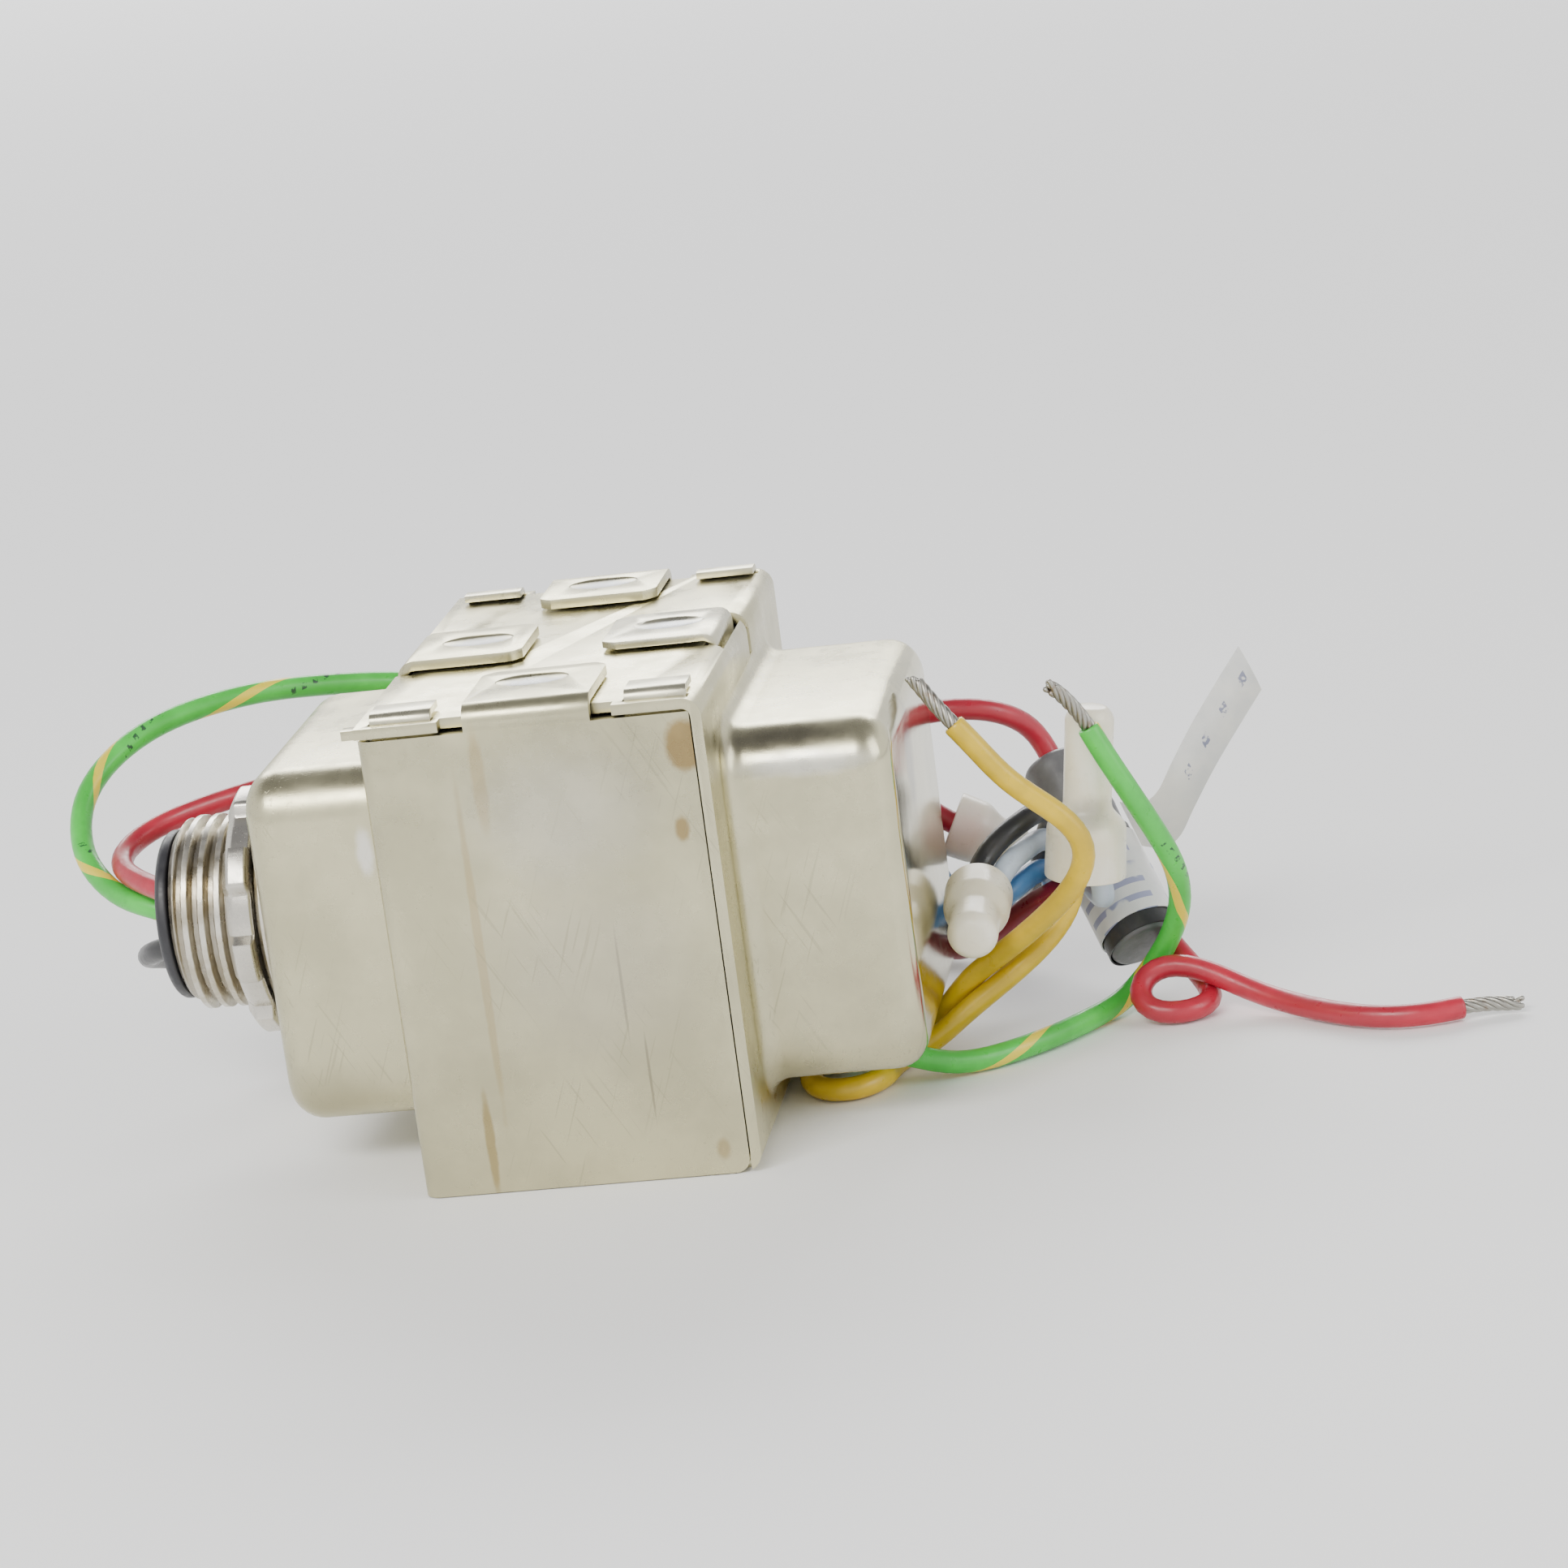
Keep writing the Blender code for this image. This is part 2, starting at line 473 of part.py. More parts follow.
def right_shell():
    steel = material("right_steel", (0.64, 0.60, 0.52), 0.28, 1.0)
    path = filleted(((-HALF_X, TOP), (HALF_X, TOP), (HALF_X, 0), (-WALL_END, 0)), RIGHT_BEND)
    shell = folded_sheet("right_shell", path, "xz", lambda p: (-HALF_Y, HALF_Y), SHEET, steel)
    combine(shell, bell_mouth("right_mouth", HALF_X), "DIFFERENCE")
    combine(shell, bell("right_bell", HALF_X, BELL_RIGHT), "UNION")
    ear = box("ear", (-19.3, -HALF_Y + 0.05, 49.75), (-17.5, -28.4, 50.75))
    combine(shell, ear, "UNION")
    far = HALF_Y + 2
    cuts = {
        "left_notch": ((-20, -7.2, 48), (-16.3, 7.2, 53)),
        "clip_slot": ((15.4, -6.9, 49), (17.4, 6.9, 53)),
        "finger_slot": ((15.4, 6.4, 46.2), (20, 8.2, 53)),
    }
    for name, side in (("front", -1), ("back", 1)):
        low, high = sorted((side * 28.6, side * far))
        cuts[name + "_notch"] = ((-9.2, low, 48), (8.9, high, 53))
        low, high = sorted((side * 28.8, side * far))
        cuts[name + "_foot"] = ((-20, low, -2), (16.85, high, 3))
        low, high = sorted((side * 27.8, side * 29.2))
        cuts[name + "_slot_a"] = ((-16.7, low, 48), (-9.9, high, 53))
        cuts[name + "_slot_b"] = ((9.9, low, 48), (16.7, high, 53))
    for name, (low, high) in cuts.items():
        combine(shell, box(name, low, high), "DIFFERENCE")
    deep = GROMMET_OUTER
    hole = turned("grommet_hole", ((0, deep), (GROMMET_HOLE, deep), (GROMMET_HOLE, 17), (0, 17)), 24,
                  None, (GROMMET_X, 0, GROMMET_Z), (0, 1, 0))
    combine(shell, hole, "DIFFERENCE")


def core_frame():
    strap = material("strap_steel", (0.5, 0.48, 0.43), 0.4, 1.0)
    path = filleted(((-STRAP_Y, STRAP_TOP), (-STRAP_Y, STRAP_LOW), (STRAP_Y, STRAP_LOW),
                     (STRAP_Y, STRAP_TOP)), 1.0, 3)
    frame = folded_sheet("core_frame", path, "yz", lambda p: (-STRAP_X, STRAP_X), STRAP, strap)
    face = STRAP_Y - 0.03
    for side in (-1, 1):
        end = STUB_FRONT_END if side < 0 else STUB_BACK_END
        fold = filleted(((side * face, 45), (side * face, STUB_TOP), (end, STUB_TOP)), 1.0, 3)
        if side < 0:
            fold.reverse()
        for low, high in ((-STUB_HIGH, -STUB_LOW), (STUB_LOW, STUB_HIGH)):
            stub = folded_sheet("stub", fold, "yz", lambda p, low=low, high=high: (low, high), STRAP - 0.06)
            combine(frame, stub, "UNION")


def top_clip():
    spring = material("clip_steel", (0.58, 0.55, 0.48), 0.3, 1.0)
    path = filleted(((CLIP_END, CLIP_TOP), (CLIP_X, CLIP_TOP), (CLIP_X, CLIP_FOOT)), 1.4)
    path.insert(1, Vector((CLIP_END + TAB_TIP_LONG, CLIP_TOP)))

    def span(p):
        share = min(1.0, (p[0] - CLIP_END) / TAB_TIP_LONG)
        half = CLIP_HALF - 1.4 * (1 - share)
        return -half, half

    clip = folded_sheet("top_clip", path, "xz", span, CLIP_SHEET, spring)
    combine(clip, dimple("clip_dimple", 10.6, 0.9, CLIP_TOP), "DIFFERENCE")


# ---------------------------------------------------------------- core and coil

def core():
    iron = material("core_steel", (0.2, 0.2, 0.2), 0.5, 1.0)
    e_shape = []
    for side in (-1, 1):
        half = [(CORE_Y, CORE_LOW), (CORE_Y, LEG_TOP), (WINDOW_OUT, LEG_TOP), (WINDOW_OUT, YOKE_TOP),
                (LEG_HALF, YOKE_TOP), (LEG_HALF, LEG_TOP)]
        half = [(side * y, z) for y, z in half]
        e_shape += half if side < 0 else half[::-1]
    bm = bmesh.new()
    face = bm.faces.new([bm.verts.new(Vector((-CORE_X, y, z)) * MM) for y, z in e_shape])
    swept = bmesh.ops.extrude_face_region(bm, geom=[face])["geom"]
    moved = [v for v in swept if isinstance(v, bmesh.types.BMVert)]
    bmesh.ops.translate(bm, verts=moved, vec=(2 * CORE_X * MM, 0, 0))
    bmesh.ops.recalc_face_normals(bm, faces=bm.faces)
    mesh = bpy.data.meshes.new("e_core")
    bm.to_mesh(mesh)
    bm.free()
    place("e_core", mesh, iron)
    box("i_core", (-CORE_X, -CORE_Y, LEG_TOP + 0.2), (CORE_X, CORE_Y, CORE_TOP),
        material("bar_steel", (0.22, 0.22, 0.22), 0.5, 1.0))


def bobbin():
    nylon = material("bobbin_nylon", (0.8, 0.75, 0.6), 0.5)
    out_x, out_y = TUBE_IN_X + TUBE_WALL, TUBE_IN_Y + TUBE_WALL
    low, high = FLANGE_Z[0], FLANGE_Z[-1] + FLANGE
    spool = box("bobbin", (-out_x, -out_y, low + 0.05), (out_x, out_y, high - 0.05), nylon)
    for z in FLANGE_Z:
        flange = box("flange", (-FLANGE_X, -FLANGE_Y, z), (FLANGE_X, FLANGE_Y, z + FLANGE))
        combine(spool, flange, "UNION")
    hole = box("leg_hole", (-TUBE_IN_X, -TUBE_IN_Y, low - 2), (TUBE_IN_X, TUBE_IN_Y, high + 2))
    combine(spool, hole, "DIFFERENCE")


def ring_plate(name, outer, inner, low, high, mat):
    """An upright rounded ring, outer and inner being (half X, half Y, corner radius)."""
    flat_outline(name, (rounded_rectangle(*outer), rounded_rectangle(*inner)), high - low, mat,
                 (0, 0, (low + high) / 2))


def windings():
    copper = ((0.45, 0.16, 0.05), 0.35, 0.6)
    tape = ((0.75, 0.6, 0.15), 0.45)
    inner = (TUBE_IN_X + TUBE_WALL + COIL_GAP, TUBE_IN_Y + TUBE_WALL + COIL_GAP, 0.3)
    outer = (COIL_X, COIL_Y, 3.0)
    tape_in = (COIL_X + TAPE_GAP, COIL_Y + TAPE_GAP, 3.0 + TAPE_GAP)
    tape_out = (tape_in[0] + TAPE, tape_in[1] + TAPE, tape_in[2] + TAPE)
    for name, floor, roof in (("primary", FLANGE_Z[0], FLANGE_Z[1]), ("secondary", FLANGE_Z[1], FLANGE_Z[2])):
        low, high = floor + FLANGE + COIL_GAP, roof - COIL_GAP
        ring_plate(name + "_winding", outer, inner, low, high, material(name + "_copper", *copper))
        ring_plate(name + "_tape", tape_out, tape_in, low + 0.8, high - 0.8, material(name + "_film", *tape))


def protection():
    """The over-temperature fuse beside the coil, and the surge disc behind the hub."""
    turned("thermal_fuse", ((0, 5), (1.3, 5), (1.6, 4.6), (1.6, -4.6), (1.3, -5), (0, -5)), 12,
           material("fuse_shell", (0.8, 0.8, 0.75), 0.4), (28.5, 0, 31), (0, 1, 0))
    turned("varistor_disc", ((0, 2), (5.4, 2), (6, 1.4), (6, -1.4), (5.4, -2), (0, -2)), 20,
           material("varistor_epoxy", (0.1, 0.25, 0.6), 0.4), (-27.6, 0, 15.5), (-1, 0, 0))


# ---------------------------------------------------------------- hub

def threaded_nipple():
    plated = material("hub_plating", (0.6, 0.56, 0.5), 0.3, 1.0)
    profile = [(HUB_BORE, HUB_END), (THREAD_ROOT, HUB_END)]
    top = HUB_END - 0.4
    while top - THREAD_PITCH > THREAD_FOOT:
        profile += [(THREAD_TOP, top - 0.55), (THREAD_TOP, top - 0.8), (THREAD_ROOT, top - 1.4)]
        top -= THREAD_PITCH
    profile += [(THREAD_ROOT, THREAD_FOOT), (COLLAR_R - 0.5, THREAD_FOOT), (COLLAR_R, THREAD_FOOT - 0.5),
                (COLLAR_R, COLLAR_FOOT), (NECK_R, COLLAR_FOOT), (NECK_R, NECK_END),
                (FLARE_R, NECK_END), (FLARE_R, FLARE_END), (HUB_BORE, FLARE_END)]
    turned("threaded_nipple", profile, 24, plated, (0, 0, HUB_Z), (-1, 0, 0))


def locknut():
    """The nut's object stands on the hub's axis, along which it comes off."""
    outline = []
    pitch = 2 * math.pi / NUT_LUGS
    for i in range(NUT_LUGS):
        middle = math.radians(NUT_PHASE) + i * pitch
        half = pitch * LUG_SHARE / 2
        outline += [(NUT_ROOT, middle - half - 0.09), (NUT_LUG, middle - half), (NUT_LUG, middle),
                    (NUT_LUG, middle + half), (NUT_ROOT, middle + half + 0.09)]
    outer = [(r * math.cos(a), r * math.sin(a)) for r, a in outline]
    hole = [(NUT_BORE * math.cos(i * math.pi / 12), NUT_BORE * math.sin(i * math.pi / 12)) for i in range(24)]
    flat_outline("locknut", (outer, hole), NUT_HIGH - NUT_LOW, material("nut_steel", (0.6, 0.57, 0.5), 0.3, 1.0),
                 (-(NUT_LOW + NUT_HIGH) / 2, 0, HUB_Z), (-1, 0, 0))


def lead_bushing():
    profile = ((BUSH_BORE + 0.4, BUSH_RIM_HIGH), (BUSH_RIM - 0.5, BUSH_RIM_HIGH),
               (BUSH_RIM, BUSH_RIM_HIGH - 0.5), (BUSH_RIM, BUSH_RIM_LOW), (BUSH_R, BUSH_RIM_LOW),
               (BUSH_R, BUSH_FOOT), (BUSH_BORE, BUSH_FOOT), (BUSH_BORE, BUSH_RIM_HIGH - 0.4))
    turned("lead_bushing", profile, 24, material("bushing_black", (0.02, 0.02, 0.025), 0.4),
           (0, 0, HUB_Z), (-1, 0, 0))


def side_grommet():
    profile = ((GROMMET_BORE + 0.3, GROMMET_OUTER), (GROMMET_R - 0.4, GROMMET_OUTER),
               (GROMMET_R, GROMMET_OUTER - 0.4), (GROMMET_R, GROMMET_FACE), (GROMMET_BARREL, GROMMET_FACE),
               (GROMMET_BARREL, GROMMET_INNER), (GROMMET_BORE, GROMMET_INNER),
               (GROMMET_BORE, GROMMET_OUTER - 0.3))
    turned("side_grommet", profile, 20, material("grommet_black", (0.02, 0.02, 0.02), 0.5),
           (GROMMET_X, 0, GROMMET_Z), (0, 1, 0))


# ---------------------------------------------------------------- leads and what is on them

def leads():
    green, red, yellow = (0.06, 0.5, 0.05), (0.6, 0.02, 0.04), (0.75, 0.5, 0.08)
    plan = (
        ("green_lead", GREEN_ROUTE, LEAD_STEP - 1.4, green),
        ("red_lead_a", RED_A_ROUTE, LEAD_STEP, red),
        ("red_lead_b", RED_B_ROUTE, TIGHT_STEP, red),
        ("black_lead", BLACK_ROUTE, LEAD_STEP - 1.4, (0.02, 0.02, 0.02)),
        ("yellow_lead_a", YELLOW_A_ROUTE, LEAD_STEP - 1.4, yellow),
        ("yellow_lead_b", YELLOW_B_ROUTE, LEAD_STEP - 1.8, yellow),
        ("maroon_lead", MAROON_ROUTE, LEAD_STEP - 1.8, (0.2, 0.01, 0.03)),
        ("blue_lead", BLUE_ROUTE, TIGHT_STEP, (0.05, 0.2, 0.5)),
        ("pale_blue_lead", PALE_BLUE_ROUTE, TIGHT_STEP, (0.6, 0.7, 0.85)),
        ("red_stub", RED_STUB_ROUTE, TIGHT_STEP, red),
    )
    for name, route, step, colour in plan:
        tube(name, route, LEAD_R, step, material(name + "_sleeve", colour, 0.35))
    tips = (("green_tip", GREEN_TIP_ROUTE), ("yellow_tip", YELLOW_TIP_ROUTE), ("red_tip", RED_TIP_ROUTE))
    for name, route in tips:
        tube(name, route, TIP_R, 2.0, material(name + "_tin", (0.6, 0.6, 0.58), 0.35, 1.0))


def connectors():
    for name, (rim, end, skirt, skirt_long, barrel) in CONNECTORS.items():
        rim, end = Vector(rim), Vector(end)
        long = (end - rim).length
        taper = skirt_long + 1.8
        wall, dome = 0.75, 1.2
        profile = (
            (0, long), (barrel * 0.72, long - 0.15), (barrel, long - dome), (barrel, taper),
            (skirt, skirt_long), (skirt, 0), (skirt - wall, 0), (skirt - wall, skirt_long),
            (barrel - wall, taper), (barrel - wall, long - dome), (0, long - dome),
        )
        turned(name + "_connector", profile, 16, material(name + "_nylon", (0.85, 0.83, 0.72), 0.4), rim, end - rim)
        bore = barrel - wall - 0.25
        crimp = ((bore - 0.35, long - 2.2), (bore, long - 2.2), (bore, taper + 0.3), (bore - 0.35, taper + 0.3))
        turned(name + "_crimp", crimp, 12, material(name + "_crimp_tin", (0.6, 0.6, 0.6), 0.3, 1.0), rim, end - rim)


def capsule():
    along = CAPSULE_B - CAPSULE_A
    long = along.length
    grey = material("capsule_grey", (0.35, 0.35, 0.36), 0.5)
    turned("capsule", ((0, long), (CAPSULE_R - 0.4, long), (CAPSULE_R, long - 0.4), (CAPSULE_R, 0.5),
                       (CAPSULE_R - 0.5, 0), (0, 0)), 20, grey, CAPSULE_A, along)
    for name, radius, (low, high), mat in (
        ("capsule_sleeve", SLEEVE_R, SLEEVE_SPAN, material("sleeve_black", (0.02, 0.02, 0.02), 0.5)),
        ("capsule_wrap", WRAP_R, WRAP_SPAN, material("label_paper", (0.8, 0.8, 0.8), 0.5)),
    ):
        bore = radius - 0.15
        turned(name, ((bore, high), (radius, high), (radius, low), (bore, low)), 20, mat, CAPSULE_A, along)


def label_flag():
    across = (CAPSULE_B - CAPSULE_A).normalized() * FLAG_WIDE / 2
    line = smooth_route(FLAG_LINE, 3.0)
    points = []
    for p in line:
        points += [p - across, p + across]
    faces = [(2 * i, 2 * i + 1, 2 * i + 3, 2 * i + 2) for i in range(len(line) - 1)]
    flag = place("label_flag", mesh_of("label_flag", points, faces),
                 material("flag_paper", (0.8, 0.8, 0.8), 0.5))
    solidify(flag, FLAG_THICK)


left_shell()
right_shell()
core_frame()
top_clip()
core()
bobbin()
windings()
protection()
threaded_nipple()
locknut()
lead_bushing()
side_grommet()
leads()
connectors()
capsule()
label_flag()
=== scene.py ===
import math
import random

import bmesh
import bpy
from mathutils import Matrix, Vector


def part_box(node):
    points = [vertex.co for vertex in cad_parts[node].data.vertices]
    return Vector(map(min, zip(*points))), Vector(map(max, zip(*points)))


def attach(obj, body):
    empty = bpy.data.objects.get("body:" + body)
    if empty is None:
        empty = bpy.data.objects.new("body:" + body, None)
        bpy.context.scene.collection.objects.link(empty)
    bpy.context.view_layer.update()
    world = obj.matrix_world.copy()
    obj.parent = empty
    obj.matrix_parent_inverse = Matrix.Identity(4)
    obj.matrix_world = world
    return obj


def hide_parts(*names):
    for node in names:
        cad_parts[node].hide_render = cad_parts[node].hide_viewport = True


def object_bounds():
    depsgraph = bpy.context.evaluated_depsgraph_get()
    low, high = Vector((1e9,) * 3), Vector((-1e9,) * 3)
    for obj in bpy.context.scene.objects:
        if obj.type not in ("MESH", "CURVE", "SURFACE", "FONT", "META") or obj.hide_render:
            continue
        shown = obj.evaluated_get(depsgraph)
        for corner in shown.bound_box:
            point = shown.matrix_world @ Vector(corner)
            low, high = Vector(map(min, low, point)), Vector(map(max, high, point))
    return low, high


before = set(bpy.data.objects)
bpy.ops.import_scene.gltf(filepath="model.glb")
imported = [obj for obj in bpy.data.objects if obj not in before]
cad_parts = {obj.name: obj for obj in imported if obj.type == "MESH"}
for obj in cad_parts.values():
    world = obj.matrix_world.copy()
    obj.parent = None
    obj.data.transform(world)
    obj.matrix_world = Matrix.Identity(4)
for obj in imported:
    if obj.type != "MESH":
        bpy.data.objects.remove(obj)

CAD_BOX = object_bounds()

# Everything below is in millimetres from the middle of the case, as the model is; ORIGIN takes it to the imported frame.
MM = 0.001
ARC_STEPS = 8
CASE_X = sum(corner[0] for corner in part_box("e_core")) / 2
ORIGIN = Matrix.Translation((CASE_X, 0, 0)) @ Matrix.Diagonal((MM, MM, MM, 1))

# Case
SHEET = 1.1
HALF_X, HALF_Y, TOP = 18.0, 30.2, 50.8
WALL_END, WALL_TOP, WALL_CORNER = 16.75, 49.4, 1.5
CUT_EDGE, SOLID_EDGE = 0.14, 0.12
LEFT_BEND, RIGHT_BEND = 1.8, 2.0

# Bells
BELL_HALF_Y, BELL_LOW, BELL_HIGH = 21.0, 5.5, 44.2
BELL_Z = (BELL_LOW + BELL_HIGH) / 2
BELL_HALF_Z = (BELL_HIGH - BELL_LOW) / 2
BELL_LEFT, BELL_RIGHT = -33.8, 35.2
BELL_WALL, BELL_CORNER, BELL_EDGE, BELL_ROOT = 1.0, 5.0, 3.6, 2.2

# Folded tabs and the stubs of the inner strap
TAB_HALF, TAB_TIP_HALF, TAB_TIP_LONG = 6.6, 5.2, 1.6
TAB_TOP, TAB_SHEET, TAB_BEND, TAB_FOOT = 52.14, 1.04, 1.9, 44.0
FRONT_TAB_END, BACK_TAB_END, LEFT_TAB_END = -15.6, 17.7, -4.4
DIMPLE = (3.9, 2.6, 0.5)
LEFT_DIMPLES, CLIP_DIMPLE = ((-0.7, -20.5), (-10.3, 0.9), (-0.2, 24.3)), (10.6, 0.9)

# Hub
HUB_Z = 25.0
HUB_FOOT, HUB_WAY = (0, 0, HUB_Z), (-1, 0, 0)
HUB_BORE, THREAD_TOP, THREAD_ROOT, THREAD_PITCH, THREAD_ROWS = 8.0, 10.65, 9.55, 1.814, 150
HUB_END, THREAD_FOOT, COLLAR_FOOT = 46.4, 36.1, 34.1
COLLAR_R, NECK_R, FLARE_R = 12.4, 9.7, 11.6
NECK_END, FLARE_END, HUB_HOLE = 32.5, 31.3, 10.0
NUT_LOW, NUT_HIGH, NUT_BORE, NUT_ROOT, NUT_LUG = 36.4, 39.4, 10.85, 12.6, 13.9
NUT_LUGS, NUT_PHASE = 8, 34.0
BUSH_RIM, BUSH_RIM_LOW, BUSH_RIM_HIGH, BUSH_R, BUSH_FOOT, BUSH_BORE = 9.3, 46.7, 48.1, 7.8, 39.8, 6.2

# Grommet
GROMMET_X, GROMMET_Z = 27.2, 22.0
GROMMET_HOLE, GROMMET_R, GROMMET_BARREL, GROMMET_BORE = 5.6, 6.6, 5.3, 4.4
GROMMET_INNER, GROMMET_FACE, GROMMET_OUTER = 18.9, 21.3, 22.7

# Leads and what is on them
LEAD_R, LEAD_STEP, LEAD_SIDES = 1.25, 1.25, 20
TIP_R, TIP_STEP, TIP_HIDDEN, TIP_PITCH = 0.85, 0.35, 1.6, 6.5
CAPSULE_A = Vector((46.8, 33.5, 23.9))
CAPSULE_B = Vector((56.1, 18.0, 6.2))
CAPSULE_R, SLEEVE_R, WRAP_R = 4.1, 4.35, 4.6
SLEEVE_SPAN, WRAP_SPAN = (11.0, 25.0), (12.2, 23.2)
FLAG_WIDE, FLAG_THICK, FLAG_STEP, FLAG_CUP = 6.2, 0.16, 0.6, 0.35

# Camera: a long lens a little above the case, in front of it and to its right
CAMERA_AT = (0.1066, -0.51274, 0.16377)
CAMERA_YAW, CAMERA_PITCH, CAMERA_ROLL = 8.795, 14.127, -7.616
CAMERA_LENS, CAMERA_SENSOR, CAMERA_NEAR = 114.17, 36.0, 0.01

# Lights, in metres: where each stands, its width and height, its watts and its colour
LIGHTS = {
    "key": ((-0.25, -0.62, 0.62), (0.7, 0.28), 7.0, (1, 0.985, 0.95)),
    "fill": ((0.75, -0.25, 0.4), (0.4, 0.5), 2.0, (1, 1, 1)),
    "rear": ((-0.3, 2.6, 1.45), (2.6, 1.2), 76.0, (1, 1, 1)),
}
LIT_POINT = (0, 0, 0.025)
WORLD_LIGHT = 1.25
WORLD_RAMP = ((0.42, (1, 1, 1, 1)), (0.78, (0.24, 0.24, 0.25, 1)))
FLOOR_RADIUS, FLOOR_GAP = 30, 0.0001

GREEN_ROUTE = (
    (-38, 2.5, 23.5), (-46, 2.5, 23.5), (-51, 3, 25), (-56, 6, 26), (-59.5, 9, 28.5), (-61.5, 13, 31),
    (-61.5, 17, 35), (-58.5, 22, 38.5), (-53, 26, 41), (-45.5, 30, 42), (-38.5, 32, 42), (-28, 34.2, 41),
    (-18, 35, 39), (-9, 36.5, 35), (-1, 37.3, 28.5), (6, 37, 20.5), (12, 36.2, 12), (17, 34.5, 5),
    (20.6, 31.5, 2), (22.6, 27.5, 1.27), (22.9, 20, 1.27), (22.9, 11, 1.27), (22.9, 3, 1.27),
    (23.8, -1.5, 1.8), (26, -4.2, 3.3), (28.9, -5.2, 4.05), (31.6, -5.5, 3.2), (36, -4.5, 1.5),
    (40.5, -2, 1.27), (46, 3, 1.27), (50.2, 8.8, 1.27), (53.4, 14, 1.4), (56.8, 16, 4.4), (59.5, 14.6, 8.6),
    (61, 12.6, 13), (60.7, 10.4, 17.8), (58.8, 8.6, 22.8), (56.6, 7.7, 27.6), (54.9, 7.5, 31),
    (53.4, 7.4, 34.4),
)
# Turns of the stripe at these lengths along the lead, so that it faces the camera where it does in the photo
GREEN_TWIST = (
    (0, -1.5), (23, 0.05), (37.5, 0.94), (58.6, 1.9), (197, 8.78), (216, 9.82), (229, 10.78), (262, 11.72),
)
GREEN_TIP_ROUTE = ((53.3, 7.3, 34.8), (52.3, 6.6, 36.8), (51.0, 5.6, 38.8), (49.6, 4.6, 40.4))
RED_A_ROUTE = (
    (-38, -2, 27.5), (-46, -2, 27.5), (-50.2, 1, 27.9), (-53.1, 4.2, 28.2), (-55.6, 7.4, 28.6),
    (-56.6, 11, 29.2), (-55.9, 14.4, 30), (-53.4, 16.9, 31), (-49.5, 18, 32), (-44.5, 19, 33),
    (-39, 21, 33.6), (-33, 25, 33.6), (-26, 29.3, 32.6), (-18, 32.4, 29), (-9, 33.3, 23),
    (0, 33.6, 19.5), (9, 33.4, 21), (17, 32.2, 25.5), (25, 30.5, 30), (32, 29.5, 32.2),
    (37, 29.6, 32.5), (41.4, 31, 31.4), (44.3, 33.4, 29), (45.6, 35, 26.6), (46.45, 34.05, 24.6),
)
RED_B_ROUTE = (
    (58.6, 18.4, 6.6), (60.2, 17, 4.6), (62.4, 14.8, 2.6), (63.5, 11.8, 1.4), (62.3, 8.8, 1.27),
    (59.4, 7.4, 1.27), (56.3, 8, 1.5), (54.9, 10.2, 3), (56.1, 12.2, 4.9), (58.6, 12.6, 5.6),
    (61.4, 12.3, 5.1), (64.3, 11.7, 3.8), (68, 10, 2.2), (72, 7.2, 1.4), (76, 3.6, 1.27),
    (80.5, 0.3, 1.27), (85.5, -0.8, 1.27), (90.5, 0.8, 1.27),
)
RED_TIP_ROUTE = ((91.0, 1.0, 1.3), (93.2, 1.5, 1.2), (95.2, 1.7, 1.0), (97.0, 1.6, 1.0))
BLACK_ROUTE = (
    (-38, 1, 21), (-47, 1, 21), (-50.6, 2, 20.8), (-53, 4.5, 19.6), (-54.6, 8, 18.2),
    (-54.9, 12, 17), (-53.6, 16, 15.6), (-50.5, 20, 13.5), (-45, 24.5, 10.5), (-38, 28.5, 7),
    (-29, 31.8, 3.6), (-18, 34, 1.8), (-8, 35.2, 1.27), (3, 36.6, 1.27), (13, 38.8, 1.27),
    (22, 41, 1.27), (31, 41.4, 2), (38, 38.8, 4.3), (42, 35.5, 7.4), (44, 31.5, 10.2),
    (44.5, 28, 13.2), (45, 24.9, 16.6), (46.1, 23.4, 18.9), (47.2, 21.2, 21.3), (46.9, 18.7, 23.1),
    (45.5, 15.6, 23.2), (43.4, 13.2, 22.4), (41, 11.9, 21.1), (39.5, 10.8, 19.3), (39, 9, 18),
    (39, 6.6, 17.8),
)
YELLOW_A_ROUTE = (
    (25.5, 19.3, 19.7), (25.5, 22.9, 19.7), (25.5, 24.9, 18.4), (25.7, 26, 14.8), (26.1, 26.1, 10),
    (26.3, 25, 5.4), (26.3, 22, 2.3), (26.4, 17.5, 1.27), (26.6, 12.6, 1.27), (28.2, 9.2, 1.4),
    (31.2, 7.4, 2), (34.3, 6.4, 4), (36.6, 6, 7.1), (39, 5.3, 9.1), (41.9, 4.2, 11.1),
    (46.4, 2.2, 14.7), (50, 0.5, 18.1), (52.1, -0.9, 21.3), (52.6, -2, 24.3), (50.7, -2, 27.1),
    (47.5, -2, 29.6), (44.6, -2, 32.2), (42.4, -2, 35.4), (40, -2, 38.5),
)
YELLOW_TIP_ROUTE = ((39.7, -1.9, 38.9), (38.4, -1.4, 40.5), (37.1, -0.8, 42.2), (35.9, -0.2, 43.9))
